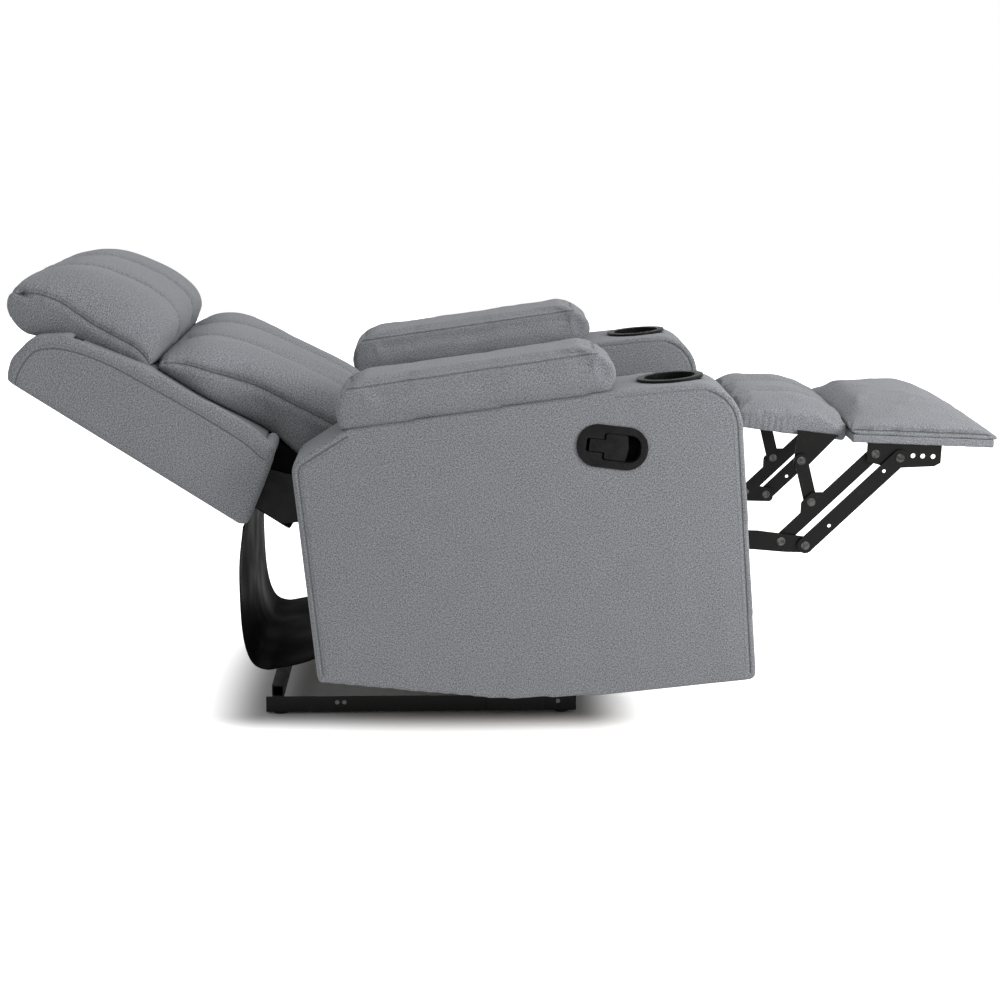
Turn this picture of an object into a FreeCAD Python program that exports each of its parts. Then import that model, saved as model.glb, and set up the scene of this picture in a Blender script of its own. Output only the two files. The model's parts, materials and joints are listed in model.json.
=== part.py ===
import FreeCAD, Part
import math
import os
import Sketcher
from types import SimpleNamespace

# A push-back recliner armchair, shown reclined with its footrest out.
# World frame: +Z up, the sitter looks along -Y, floor at z = 0.
# Drawings use two lengths: "forward" (f, towards the feet, -Y) and "up" (z, +Z).
# The seat, arms and footrest are drawn level and then tipped up by seat_tilt;
# the back is drawn standing and then leaned back about its pivots.

DIMENSIONS = [
    # overall
    ("seat_width", 470),
    ("arm_width", 165),
    ("seat_tilt", 6),
    ("back_lean", 51),
    # the axis on which the seat rocks on the base
    ("rock_f", 110),
    ("rock_z", 130),
    # arm panels
    ("wall", 12),
    ("arm_rear_f", -209),
    ("arm_rear_low_z", 140),
    ("arm_rear_high_z", 491),
    ("arm_heel_f", 74),
    ("arm_heel_z", 81),
    ("arm_toe_f", 216),
    ("arm_toe_z", 70),
    ("arm_front_low_f", 481.5),
    ("arm_front_low_z", 68),
    ("arm_front_high_f", 497.5),
    ("arm_front_high_z", 549),
    ("arm_nose", 72),
    ("deck_bend_f", 300),
    ("deck_bend_z", 551.5),
    ("deck_rear_f", -118),
    ("deck_rear_z", 536),
    ("arm_corner", 24),
    # arm pads
    ("pad_rear_f", -130),
    ("pad_front_f", 308),
    ("pad_thick", 70),
    ("pad_inset", 2),
    ("pad_round", 38),
    # wooden boards inside the arms
    ("board_thick", 18),
    ("board_gap", 12),
    ("board_rail", 55),
    # cup holders
    ("cup_f", 394.5),
    ("cup_rim", 105),
    ("cup_outer", 86),
    ("cup_bore", 81),
    ("cup_depth", 78),
    ("cup_rim_thick", 4),
    # release handle in the sitter's right arm
    ("latch_f", 289),
    ("latch_z", 465),
    ("latch_tilt", -13),
    ("latch_long", 111),
    ("latch_tall", 67),
    ("latch_lip", 3),
    ("latch_depth", 26),
    ("latch_wall", 2.5),
    ("dish_rear", 14.2),
    ("dish_front", 45),
    ("dish_tall", 43),
    ("slot_rear", 40.7),
    ("slot_tall", 22),
    ("paddle_gap", 1.2),
    ("paddle_thick", 5),
    ("paddle_proud", 1.5),
    ("tab_rear", 11.3),
    ("tab_front", 25.5),
    ("latch_pin", 4),
    ("latch_pin_f", -31),
    ("latch_pin_deep", 7.2),
    ("latch_spring_wire", 1.2),
    # steel side plates and footrest links, counted inwards from the arm
    ("steel", 3),
    ("layer_gap", 2.5),
    ("link_width", 26),
    ("rivet_shank", 8),
    ("rivet_head", 14),
    ("rivet_head_thick", 1.2),
    ("running_fit", 0.05),
    ("face_gap", 0.1),
    ("drive_tube", 20),
    ("drive_tube_wall", 2),
    # footrest linkage, from the drive pivot forwards
    ("drive_f", 390),
    ("drive_z", 274),
    ("crank_length", 172.7),
    ("crank_angle", -8.8),
    ("crank_tail", 39.8),
    ("crank_drop", 4.3),
    ("arm_length", 210),
    ("arm_angle", 37.74),
    ("toggle_along", 79.8),
    ("toggle_up", 12.5),
    ("toggle_length", 70.1),
    ("toggle_angle", 98.04),
    # footrest and middle rest, drawn from the rear lower edge of each board
    ("footrest_length", 232),
    ("footrest_beyond", 7.5),
    ("footrest_angle", -8.5),
    ("footrest_board", 12),
    ("footrest_soft", 44),
    ("footrest_overhang", 6),
    ("hanger_along", 39.6),
    ("hanger_drop", 18.7),
    ("middle_length", 172),
    ("middle_inset", 9),
    ("middle_angle", -13.3),
    ("middle_board", 10),
    ("middle_soft", 36),
    ("middle_clearance", 3),
    ("middle_hinge_along", 107),
    ("middle_hinge_drop", 48.4),
    ("bracket_flange", 26),
    ("adjust_hole", 8),
    ("soft_gap", 0.3),
    # seat
    ("rail_top", 358),
    ("rail_deep", 35),
    ("rail_wide", 22),
    ("seat_rear_f", -95),
    ("seat_front_f", 350),
    ("seat_spring_wire", 4),
    ("seat_spring_loop", 44),
    ("seat_spring_pitch", 36),
    ("cushion_nose_f", 482),
    ("cushion_thick", 112),
    ("cushion_side_gap", 4),
    ("cross_tube", 25),
    ("cross_tube_f", 235),
    ("cross_tube_z", 190),
    # back
    ("back_pivot_f", -147),
    ("back_pivot_z", 391),
    ("back_beyond", 100),
    ("back_low_z", 113),
    ("back_high_z", 564),
    ("back_rear_f", -101),
    ("back_front_f", 49),
    ("core_inset", 13),
    ("bracket_tall", 240),
    ("bracket_wide", 36),
    ("bracket_thick", 4),
    ("deck_face_f", 32),
    ("lumbar_soft", 100),
    ("lumbar_low_z", 103),
    ("lumbar_step_z", 228),
    ("lumbar_high_z", 378),
    ("lumbar_inset", 45),
    ("pillow_inset", 32),
    ("back_post", 40),
    # base on the floor
    ("rail_inset", 29),
    ("rail_front_f", 211),
    ("rail_rear_f", -306),
    ("rail_height", 26),
    ("rail_foot", 22),
    ("glide_height", 4),
    ("glide_width", 24),
    ("base_tube", 20),
    ("base_tube_front_f", 150),
    ("tube_wall", 2),
    ("post_thick", 4),
    ("post_wide", 60),
    ("rock_pin", 12),
    # cloth that closes the rear under the back
    ("cloth_thick", 3),
    ("cloth_beyond", 10),
]

RIGHT = -1
LEFT = 1
SIDES = ((RIGHT, "right"), (LEFT, "left"))


class Size:
    """A length that keeps the sheet expression it comes from."""

    def __init__(self, value, text):
        self.value = float(value)
        self.text = text

    def join(self, sign, other, value):
        return Size(value, "(%s %s %s)" % (self.text, sign, size(other).text))

    def __add__(self, other):
        return self.join("+", other, self.value + number(other))

    def __sub__(self, other):
        return self.join("-", other, self.value - number(other))

    def __mul__(self, other):
        return self.join("*", other, self.value * number(other))

    def __truediv__(self, other):
        return self.join("/", other, self.value / number(other))

    def __radd__(self, other):
        return size(other) + self

    def __rsub__(self, other):
        return size(other) - self

    def __rmul__(self, other):
        return size(other) * self

    def __neg__(self):
        return 0 - self


def size(thing):
    """The thing itself if it is a Size, else a Size made from a plain number."""
    if isinstance(thing, Size):
        return thing
    return Size(thing, "(%s)" % repr(float(thing)))


def number(thing):
    return size(thing).value


doc = FreeCAD.newDocument("recliner")
sheet = doc.addObject("Spreadsheet::Sheet", "Sizes")
S = SimpleNamespace()
for row, (alias, value) in enumerate(DIMENSIONS, start=1):
    sheet.set("A%d" % row, str(value))
    sheet.setAlias("A%d" % row, alias)
    setattr(S, alias, Size(value, "Sizes.%s" % alias))
doc.recompute()

X_AXIS = FreeCAD.Vector(1, 0, 0)
parts = {}
pivots = {}


# ---------------------------------------------------------------- places
def vector(x, f, z):
    return FreeCAD.Vector(number(x), -number(f), number(z))


def place(f=0, z=0, angle=0, x=0):
    """A frame at (f, z), turned so that its forward axis rises by angle."""
    turn = FreeCAD.Rotation(X_AXIS, -number(angle))
    return FreeCAD.Placement(vector(x, f, z), turn)


def inside(frame, f=0, z=0, angle=0, x=0):
    return frame.multiply(place(f, z, angle, x))


def turned(f, z, angle, along, up):
    """The point reached from (f, z) by going along and up in a turned frame."""
    a = math.radians(number(angle))
    east = number(along) * math.cos(a) - number(up) * math.sin(a)
    north = number(along) * math.sin(a) + number(up) * math.cos(a)
    return number(f) + east, number(z) + north


# ---------------------------------------------------------------- makers
def bind(thing, **sizes):
    for name, length in sizes.items():
        thing.setExpression(name, size(length).text)


def origin_plane(body, role):
    return [item for item in body.Origin.OriginFeatures if item.Role == role][0]


def draw(body, name, outline, holes):
    """A sketch on the side plane: a closed outline and round holes."""
    sketch = body.newObject("Sketcher::SketchObject", name)
    sketch.AttachmentSupport = [(origin_plane(body, "YZ_Plane"), "")]
    sketch.MapMode = "FlatFace"
    corners = [FreeCAD.Vector(-number(f), number(z), 0) for f, z in outline]
    count = len(corners)
    for k in range(count):
        sketch.addGeometry(Part.LineSegment(corners[k], corners[(k + 1) % count]))
    for k in range(count):
        sketch.addConstraint(Sketcher.Constraint("Coincident", k, 2, (k + 1) % count, 1))
    for k, (f, z) in enumerate(outline):
        pin_point(sketch, k, 1, f, z)
    for f, z, radius in holes:
        centre = FreeCAD.Vector(-number(f), number(z), 0)
        circle = Part.Circle(centre, FreeCAD.Vector(0, 0, 1), number(radius))
        geo = sketch.addGeometry(circle)
        pin_point(sketch, geo, 3, f, z)
        limit = sketch.addConstraint(Sketcher.Constraint("Radius", geo, number(radius)))
        sketch.setExpression("Constraints[%d]" % limit, size(radius).text)
    return sketch


def pin_point(sketch, geo, end, f, z):
    for kind, length in (("DistanceX", -size(f)), ("DistanceY", size(z))):
        limit = sketch.addConstraint(Sketcher.Constraint(kind, geo, end, length.value))
        sketch.setExpression("Constraints[%d]" % limit, length.text)


def prism(name, outline, width, frame, x=0, holes=(), rounds=(), hollow=None, hollow_width=None):
    """A side-plane outline made solid across the chair, with corners rounded.

    rounds lists (radius, corner numbers); hollow is an outline cut out of
    the middle hollow_width of the solid.
    """
    body = doc.addObject("PartDesign::Body", name)
    sketch = draw(body, name + "_outline", outline, holes)
    pad = body.newObject("PartDesign::Pad", name + "_pad")
    pad.Profile = sketch
    pad.Midplane = True
    bind(pad, Length=width)
    doc.recompute()
    last = pad
    for step, (radius, numbers) in enumerate(rounds):
        fillet = body.newObject("PartDesign::Fillet", "%s_round_%d" % (name, step))
        fillet.Base = (last, cross_edges(last, [outline[k] for k in numbers]))
        bind(fillet, Radius=radius)
        doc.recompute()
        last = fillet
    if hollow:
        cavity = draw(body, name + "_cavity", hollow, ())
        pocket = body.newObject("PartDesign::Pocket", name + "_pocket")
        pocket.Profile = cavity
        pocket.Midplane = True
        bind(pocket, Length=hollow_width)
    body.Placement = inside(frame, x=x)
    doc.recompute()
    return body


def cross_edges(feature, corners):
    """Names of the edges that run across the chair through these corners."""
    wanted = [(-number(f), number(z)) for f, z in corners]
    names = []
    for index, edge in enumerate(feature.Shape.Edges, start=1):
        start = edge.Vertexes[0].Point
        stop = edge.Vertexes[-1].Point
        straight = abs(start.y - stop.y) + abs(start.z - stop.z) < 0.001
        near = [c for c in wanted if abs(c[0] - start.y) + abs(c[1] - start.z) < 0.01]
        if straight and near:
            names.append("Edge%d" % index)
    return names


def plate(name, side, outline, inner, frame, thick=None, **details):
    """A flat piece standing at `inner` from the chair's middle plane."""
    thick = S.steel if thick is None else thick
    middle = side * (number(inner) + number(thick) / 2)
    return prism(name, outline, thick, frame, x=middle, **details)


def box(name, width, f_low, f_high, z_low, z_high, frame, x=0):
    """A block centred at x across the chair."""
    block = doc.addObject("Part::Box", name)
    bind(block, Length=width, Width=f_high - size(f_low), Height=z_high - size(z_low))
    corner = place(f_high, z_low, 0, number(x) - number(width) / 2)
    block.Placement = frame.multiply(corner)
    return block


def rod(name, side, inner, outer, radius, frame, f=0, z=0):
    """A cylinder across the chair from `inner` to `outer` on one side."""
    bar = doc.addObject("Part::Cylinder", name)
    bind(bar, Height=outer - size(inner), Radius=radius)
    turn = FreeCAD.Rotation(FreeCAD.Vector(0, 1, 0), 90 * side)
    bar.Placement = frame.multiply(FreeCAD.Placement(vector(side * number(inner), f, z), turn))
    return bar


def square_tube(name, width, across, f, z, frame):
    """A hollow square tube across the chair, centred on (f, z)."""
    half = across / 2
    bore = half - S.tube_wall
    outer = box(name + "_outer", width, f - half, f + half, z - half, z + half, frame)
    inner = box(name + "_inner", width + 2, f - bore, f + bore, z - bore, z + bore, frame)
    return cut(name, outer, inner)


def disc(name, f, z, z_high, radius, frame, x=0):
    """An upright cylinder from z to z_high."""
    bar = doc.addObject("Part::Cylinder", name)
    bind(bar, Height=z_high - size(z), Radius=radius)
    bar.Placement = inside(frame, f, z, 0, x)
    return bar


def cut(name, base, *tools):
    for step, tool in enumerate(tools):
        result = doc.addObject("Part::Cut", "%s_cut_%d" % (name, step))
        result.Base = base
        result.Tool = tool
        base = result
    return base


def fuse(name, *pieces):
    result = doc.addObject("Part::MultiFuse", name + "_fuse")
    result.Shapes = list(pieces)
    return result


def group(name, pieces):
    result = doc.addObject("Part::Compound", name + "_group")
    result.Links = list(pieces)
    return result


def keep(label, piece):
    piece.Label = label
    parts[label] = piece


def note(name, frame, f, z, x=0):
    """Remembers where a joint is, for the printed list of pivots."""
    pivots[name] = frame.multVec(vector(x, f, z))


# ---------------------------------------------------------------- frames
BASE = FreeCAD.Placement()
SEAT = FreeCAD.Placement(
    FreeCAD.Vector(),
    FreeCAD.Rotation(X_AXIS, -S.seat_tilt.value),
    vector(0, S.rock_f, S.rock_z),
)
BACK = inside(SEAT, S.back_pivot_f, S.back_pivot_z, S.back_lean)

arm_inner = S.seat_width / 2
arm_middle = arm_inner + S.arm_width / 2

# Steel layers from the arm inwards: side plate, long arm, crank, short arm,
# toggle link, middle bracket. Each value is the layer's face nearest the middle.
plate_layer = arm_inner - S.steel
long_layer = plate_layer - S.steel - S.steel
crank_layer = long_layer - S.layer_gap - S.steel
short_layer = crank_layer - S.layer_gap - S.steel
toggle_layer = short_layer - S.layer_gap - S.steel
middle_layer = toggle_layer - S.layer_gap - S.steel

# Half widths across the chair that follow the seat's width.
rail_half = arm_inner - S.rail_inset
cloth_half = arm_inner + S.cloth_beyond
back_half = arm_inner + S.back_beyond
back_core_half = arm_inner - S.core_inset
lumbar_half = back_half - S.lumbar_inset
pillow_half = back_half - S.pillow_inset
footrest_half = crank_layer + S.footrest_beyond
middle_half = middle_layer - S.middle_inset

# Pivots of the footrest linkage in the seat's drawing.
knee = turned(S.drive_f, S.drive_z, S.crank_angle, S.crank_length, 0)
ankle = turned(S.drive_f, S.drive_z, S.crank_angle, S.crank_length + S.crank_tail, -S.crank_drop)
hanger_rear = turned(*knee, S.arm_angle, S.arm_length, 0)
hanger_front = turned(*ankle, S.arm_angle, S.arm_length, 0)
toggle_low = turned(*knee, S.arm_angle, S.toggle_along, S.toggle_up)
toggle_high = turned(*toggle_low, S.toggle_angle, S.toggle_length, 0)
footrest_rear = turned(*hanger_rear, S.footrest_angle, -S.hanger_along, S.hanger_drop)
middle_rear = turned(*toggle_high, S.middle_angle, -S.middle_hinge_along, S.middle_hinge_drop)

FOOTREST = inside(SEAT, *footrest_rear, S.footrest_angle)
MIDDLE = inside(SEAT, *middle_rear, S.middle_angle)

shank = S.rivet_shank / 2
head = S.rivet_head / 2
running_hole = shank + S.running_fit


def rivet(name, side, point, outer_layer, inner_layer, outer_is_tight):
    """A shouldered rivet through two links, tight in one and free in the other."""
    outer_gap = size(0) if outer_is_tight else S.face_gap
    inner_gap = S.face_gap if outer_is_tight else size(0)
    outer_face = outer_layer + S.steel + outer_gap
    inner_face = inner_layer - inner_gap
    steps = (
        (inner_face - S.rivet_head_thick, outer_face + S.rivet_head_thick, shank),
        (inner_layer + S.steel + inner_gap, outer_layer - outer_gap, head),
        (inner_face - S.rivet_head_thick, inner_face, head),
        (outer_face, outer_face + S.rivet_head_thick, head),
    )
    pieces = [
        rod("%s_%d" % (name, k), side, low, high, radius, SEAT, *point)
        for k, (low, high, radius) in enumerate(steps)
    ]
    return fuse(name, *pieces)


def both_sides(label, make):
    """One node that holds the same fastener on both sides."""
    keep(label, group(label, [make("%s_%s" % (label, word), side) for side, word in SIDES]))


# ---------------------------------------------------------------- base
def base_rails():
    glide_top = S.glide_height
    rail_high = glide_top + S.rail_height
    length = (S.rail_rear_f, S.rail_front_f)
    for side, word in SIDES:
        name = "base_rail_" + word
        web = box(name + "_web", S.steel, *length, glide_top, rail_high, BASE,
                  side * (rail_half.value + S.steel.value / 2))
        foot_middle = side * (rail_half - S.rail_foot / 2).value
        foot = box(name + "_foot", S.rail_foot, *length, glide_top, glide_top + S.steel, BASE, foot_middle)
        slots = [
            rod("%s_hole_%d" % (name, k), side, rail_half - 1, rail_half + S.steel + 1, 4, BASE,
                f, glide_top + S.rail_height * 0.6)
            for k, f in enumerate((S.rail_rear_f + 118, S.rail_rear_f + 130, S.rail_front_f - 30))
        ]
        keep(name, cut(name, fuse(name, web, foot), *slots))


def base_tubes():
    low = S.glide_height + S.rail_height
    width = (rail_half + S.steel) * 2
    places = (S.base_tube_front_f, S.rail_rear_f + S.base_tube)
    tubes = [square_tube("base_tube_%d" % k, width, S.base_tube, f, low + S.base_tube / 2, BASE)
             for k, f in enumerate(places)]
    keep("base_cross_tubes", group("base_cross_tubes", tubes))


def floor_glides():
    def glides(name, side):
        x = side * (rail_half - S.rail_foot / 2).value
        places = (S.rail_front_f - S.glide_width, S.rail_rear_f + S.glide_width)
        return group(name, [
            disc("%s_%d" % (name, k), f, 0, S.glide_height, S.glide_width / 2, BASE, x)
            for k, f in enumerate(places)
        ])
    both_sides("floor_glides", glides)


def rocker_posts():
    low = S.glide_height + 1
    half = S.post_wide / 2
    shoulder = low + S.rail_height
    outline = (
        (S.rock_f - half * 1.6, low), (S.rock_f + half * 1.6, low), (S.rock_f + half * 1.6, shoulder),
        (S.rock_f + half * 0.55, S.rock_z + 16), (S.rock_f - half * 0.55, S.rock_z + 16),
        (S.rock_f - half * 1.6, shoulder),
    )
    inner = rail_half + S.steel
    for side, word in SIDES:
        keep("rocker_post_" + word, plate(
            "rocker_post_" + word, side, outline, inner, BASE, thick=S.post_thick,
            holes=((S.rock_f, S.rock_z, S.rock_pin / 2),), rounds=((12, (3, 4)),)))

    def pin(name, side):
        post_face = inner + S.post_thick
        spacer_end = plate_layer - S.face_gap
        return fuse(
            name,
            rod(name + "_shank", side, inner - 2, arm_inner - 0.5, S.rock_pin / 2, BASE, S.rock_f, S.rock_z),
            rod(name + "_head", side, inner - 5, inner, S.rock_pin * 0.8, BASE, S.rock_f, S.rock_z),
            rod(name + "_spacer", side, post_face, spacer_end, S.rock_pin * 0.8, BASE, S.rock_f, S.rock_z),
        )
    both_sides("rocker_pins", pin)
    note("seat_tilt", BASE, S.rock_f, S.rock_z)


# ---------------------------------------------------------------- arms
deck_slope = (S.deck_bend_z - S.deck_rear_z) / (S.deck_bend_f - S.deck_rear_f)
front_slope = (S.arm_front_high_z - S.deck_bend_z) / (S.arm_front_high_f - S.deck_bend_f)


def deck_z(f):
    """Height of the arm's top at f, behind its bend."""
    return S.deck_rear_z + (f - S.deck_rear_f) * deck_slope


def arm_shells():
    outline = (
        (S.arm_rear_f, S.arm_rear_low_z), (S.arm_heel_f, S.arm_heel_z), (S.arm_toe_f, S.arm_toe_z),
        (S.arm_front_low_f, S.arm_front_low_z), (S.arm_front_high_f, S.arm_front_high_z),
        (S.deck_bend_f, S.deck_bend_z), (S.deck_rear_f, S.deck_rear_z), (S.arm_rear_f, S.arm_rear_high_z),
    )
    hollow = (
        (S.arm_rear_f + S.wall, 0), (S.arm_front_low_f - S.wall - 3, 0),
        (S.arm_front_high_f - S.wall, S.arm_front_high_z - S.arm_nose),
        (S.arm_front_high_f - S.arm_nose, S.arm_front_high_z - S.wall),
        (S.deck_bend_f, S.deck_bend_z - S.wall),
        (S.deck_rear_f + S.wall, deck_z(S.deck_rear_f + S.wall) - S.wall),
        (S.arm_rear_f + S.wall, S.arm_rear_high_z - S.wall),
    )
    cup_z = S.deck_bend_z + (S.cup_f - S.deck_bend_f) * front_slope
    cup_angle = math.degrees(math.atan(front_slope.value))
    for side, word in SIDES:
        name = "arm_shell_" + word
        shell = prism(name, outline, S.arm_width, SEAT, side * arm_middle.value,
                      rounds=((S.arm_corner, (6, 7)), (S.arm_nose, (4,)), (12, (3,))),
                      hollow=hollow, hollow_width=S.arm_width - S.wall * 2)
        cup_place = inside(SEAT, S.cup_f, cup_z, cup_angle, side * arm_middle.value)
        openings = [disc(name + "_cup_hole", 0, -40, 20, S.cup_outer / 2 + S.soft_gap, cup_place)]
        if side == RIGHT:
            grow = S.latch_wall + S.soft_gap
            openings.append(keyhole(name + "_latch_hole", grow, -5, S.wall + 5))
        keep(name, cut(name, shell, *openings))
        keep("cup_holder_" + word, cup_holder("cup_holder_" + word, cup_place))


def cup_holder(name, frame):
    rim = disc(name + "_rim", 0, 0, S.cup_rim_thick, S.cup_rim / 2, frame)
    can = disc(name + "_can", 0, -S.cup_depth, S.cup_rim_thick, S.cup_outer / 2, frame)
    bore = disc(name + "_bore", 0, -S.cup_depth + 3, S.cup_rim_thick + 1, S.cup_bore / 2, frame)
    return cut(name, fuse(name, rim, can), bore)


def arm_boards():
    """Plywood frames inside the arms, against the inner wall."""
    gap = S.board_gap
    low = S.arm_rear_low_z + gap
    outline = (
        (S.arm_rear_f + S.wall + 1, low), (S.arm_heel_f, S.arm_heel_z + gap),
        (S.arm_front_low_f - S.wall - gap, S.arm_toe_z + gap),
        (S.arm_front_low_f - S.wall - gap, S.arm_front_high_z - S.arm_nose - gap),
        (S.arm_front_high_f - S.arm_nose - gap, S.arm_front_high_z - S.wall - gap),
        (S.deck_rear_f + 10, S.deck_rear_z - S.wall - gap),
        (S.arm_rear_f + S.wall + 1, S.arm_rear_high_z - 22),
    )
    edge = S.board_rail
    window = (
        (S.arm_rear_f + S.wall + edge, low + edge), (S.arm_heel_f, S.arm_heel_z + gap + edge),
        (S.arm_front_low_f - S.wall - gap - edge, S.arm_toe_z + gap + edge),
        (S.arm_front_low_f - S.wall - gap - edge, S.arm_rear_high_z - S.wall - edge - gap),
        (S.arm_rear_f + S.wall + edge, S.arm_rear_high_z - S.wall - edge),
    )

    def board(name, side):
        return plate(name, side, outline, arm_inner + S.wall, SEAT, thick=S.board_thick,
                     hollow=window, hollow_width=S.board_thick + 2)
    both_sides("arm_boards", board)


def arm_pads():
    rear, front = S.pad_rear_f, S.pad_front_f
    outline = ((rear, deck_z(rear)), (front, deck_z(front)),
               (front, deck_z(front) + S.pad_thick), (rear, deck_z(rear) + S.pad_thick))
    for side, word in SIDES:
        name = "arm_pad_" + word
        keep(name, prism(name, outline, S.arm_width - S.pad_inset * 2, SEAT, side * arm_middle.value,
                         rounds=((6, (0,)), (S.pad_round / 2, (1,)), (S.pad_round, (2, 3)))))


# ---------------------------------------------------------------- release handle
def latch_frame():
    """On the outer face of the right arm, forward along the handle; its x is the depth into the arm."""
    return inside(SEAT, S.latch_f, S.latch_z, S.latch_tilt, -(arm_inner + S.arm_width))


def latch_block(name, rear, front, tall, low, high, rounds=()):
    """A block in the latch frame, from depth low to depth high."""
    half = tall / 2
    outline = ((rear, -half), (front, -half), (front, half), (rear, half))
    width = high - size(low)
    return prism(name, outline, width, latch_frame(), number(low) + number(width) / 2, rounds=rounds)


def keyhole(name, grow, low, high):
    """The opening round the handle, larger by `grow` all round, from depth low to depth high."""
    dish_tall = S.dish_tall + size(grow) * 2
    slot_tall = S.slot_tall + size(grow) * 2
    dish = latch_block(name + "_dish", -S.dish_rear - grow, S.dish_front + grow, dish_tall, low, high,
                       rounds=((dish_tall * 0.42, (1, 2)), (5, (0, 3))))
    slot = latch_block(name + "_slot", -S.slot_rear - grow, 0, slot_tall, low, high, rounds=((4, (0, 3)),))
    return fuse(name, dish, slot)


def common(name, base, tool):
    result = doc.addObject("Part::Common", name)
    result.Base = base
    result.Tool = tool
    return result


def latch():
    """Bezel with its dish, the paddle that is pulled, its pin and its spring."""
    half_long = S.latch_long / 2
    rim = latch_block("latch_rim", -half_long, half_long, S.latch_tall, -S.latch_lip, 0,
                      rounds=((S.latch_tall * 0.48, (0, 1, 2, 3)),))
    can = keyhole("latch_can", S.latch_wall, 0, S.latch_depth)
    bore = keyhole("latch_bore", 0, -S.latch_lip - 1, S.latch_depth - S.latch_wall)
    half_pin = S.slot_tall / 2 + S.latch_wall - 0.5
    frame = latch_frame()
    pin_f, deep = S.latch_pin_f, S.latch_pin_deep
    pin = (pin_f, -half_pin, half_pin)
    hole = disc("latch_pin_hole", *pin, S.latch_pin / 2, frame, deep)
    keep("latch_bezel", cut("latch_bezel", fuse("latch_bezel", rim, can), bore, hole))
    keep("latch_pin", disc("latch_pin_rod", *pin, S.latch_pin / 2, frame, deep))

    # the paddle: a wide tab in front of a narrow stem, whose hub turns on the pin
    half_tab = S.dish_tall / 2 - S.paddle_gap
    half_stem = S.slot_tall / 2 - S.paddle_gap
    outline = ((-S.tab_rear, -half_tab), (S.tab_front - 3, -half_tab), (S.tab_front, 0),
               (S.tab_front - 3, half_tab), (-S.tab_rear, half_tab))
    middle = (S.paddle_thick / 2 - S.paddle_proud).value
    tab = prism("latch_tab", outline, S.paddle_thick, frame, middle, rounds=((4, (0, 1, 3, 4)), (20, (2,))))
    stem = box("latch_stem", S.paddle_thick, pin_f - 4.5, 0, -half_stem, half_stem, frame, middle)
    hub = disc("latch_hub", pin_f, -half_stem, 3, 5, frame, deep)
    bearing = disc("latch_hub_hole", *pin, S.latch_pin / 2 + S.running_fit, frame, deep)
    keep("latch_handle", cut("latch_handle", fuse("latch_handle", tab, stem, hub), bearing))
    note("latch_handle", frame, pin_f, 0, deep)

    # a small coil round the pin, between the hub and the upper wall of the slot
    wire = S.latch_spring_wire.value / 2
    radius = S.latch_pin.value / 2 + wire + 0.3
    low = 3 + wire + 0.2
    rise = S.slot_tall.value / 2 - wire - 0.2 - low
    path = Part.makeHelix(S.latch_spring_wire.value * 1.35, rise, radius)
    section = Part.Wire([Part.makeCircle(wire, FreeCAD.Vector(radius, 0, 0), FreeCAD.Vector(0, 1, 0))])
    spring = doc.addObject("Part::Feature", "latch_spring_coil")
    spring.Shape = Part.Wire(path).makePipeShell([section], True, True)
    spring.Placement = inside(frame, pin_f, low, 0, deep)
    keep("latch_spring", spring)


# ---------------------------------------------------------------- seat
side_rail_inner = plate_layer - S.rail_wide
rail_low = S.rail_top - S.rail_deep
cushion_low = S.rail_top + S.seat_spring_wire + S.soft_gap


def seat_rails():
    def side_rail(name, side):
        return box(name, S.rail_wide, S.seat_rear_f, S.seat_front_f, rail_low, S.rail_top, SEAT,
                   side * (side_rail_inner + S.rail_wide / 2).value)
    both_sides("side_rails", side_rail)
    between = side_rail_inner * 2
    for word, low in (("rear", S.seat_rear_f), ("front", S.seat_front_f - S.rail_wide)):
        keep(word + "_rail", box(word + "_rail_block", between, low, low + S.rail_wide,
                                 rail_low, S.rail_top, SEAT))


def flat(x, f):
    return FreeCAD.Vector(x, -f, S.rail_top.value + S.seat_spring_wire.value / 2)


def zigzag_springs():
    """Four wavy wires that carry the seat cushion, resting on both rails."""
    radius = S.seat_spring_wire.value / 2
    swing = S.seat_spring_loop.value / 2
    start = S.seat_rear_f.value + 4
    stop = S.seat_front_f.value - 4
    waves = max(2, round((stop - start) / S.seat_spring_pitch.value))
    step = (stop - start) / waves / 2
    wires = []
    for share in (-0.75, -0.25, 0.25, 0.75):
        middle = share * side_rail_inner.value
        points = [flat(middle, start)]
        for k in range(2 * waves - 1):
            way = 1 if k % 2 == 0 else -1
            points.append(flat(middle + way * swing, start + (k + 0.5) * step + step / 2))
        points.append(flat(middle, stop))
        wires.append(round_wire(points, radius, step * 0.8))
    springs = doc.addObject("Part::Feature", "seat_springs_shape")
    springs.Shape = Part.makeCompound(wires)
    springs.Placement = SEAT
    keep("seat_springs", springs)


def round_wire(points, radius, bend):
    """A round wire along straight runs joined by tangent arcs of one radius."""
    edges = []
    last = points[0]
    for before, corner, after in zip(points, points[1:], points[2:]):
        a = (before - corner).normalize()
        b = (after - corner).normalize()
        half = a.getAngle(b) / 2
        arm = bend / math.tan(half)
        limit = 0.48 * min((before - corner).Length, (after - corner).Length)
        arm = min(arm, limit)
        middle_way = (a + b).normalize()
        r = arm * math.tan(half)
        middle = corner + middle_way * (r / math.sin(half) - r)
        edges.append(Part.LineSegment(last, corner + a * arm).toShape())
        edges.append(Part.Arc(corner + a * arm, middle, corner + b * arm).toShape())
        last = corner + b * arm
    edges.append(Part.LineSegment(last, points[-1]).toShape())
    path = Part.Wire(edges)
    start_way = (points[1] - points[0]).normalize()
    ring = Part.Wire([Part.makeCircle(radius, points[0], start_way)])
    return path.makePipeShell([ring], True, False)


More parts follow.
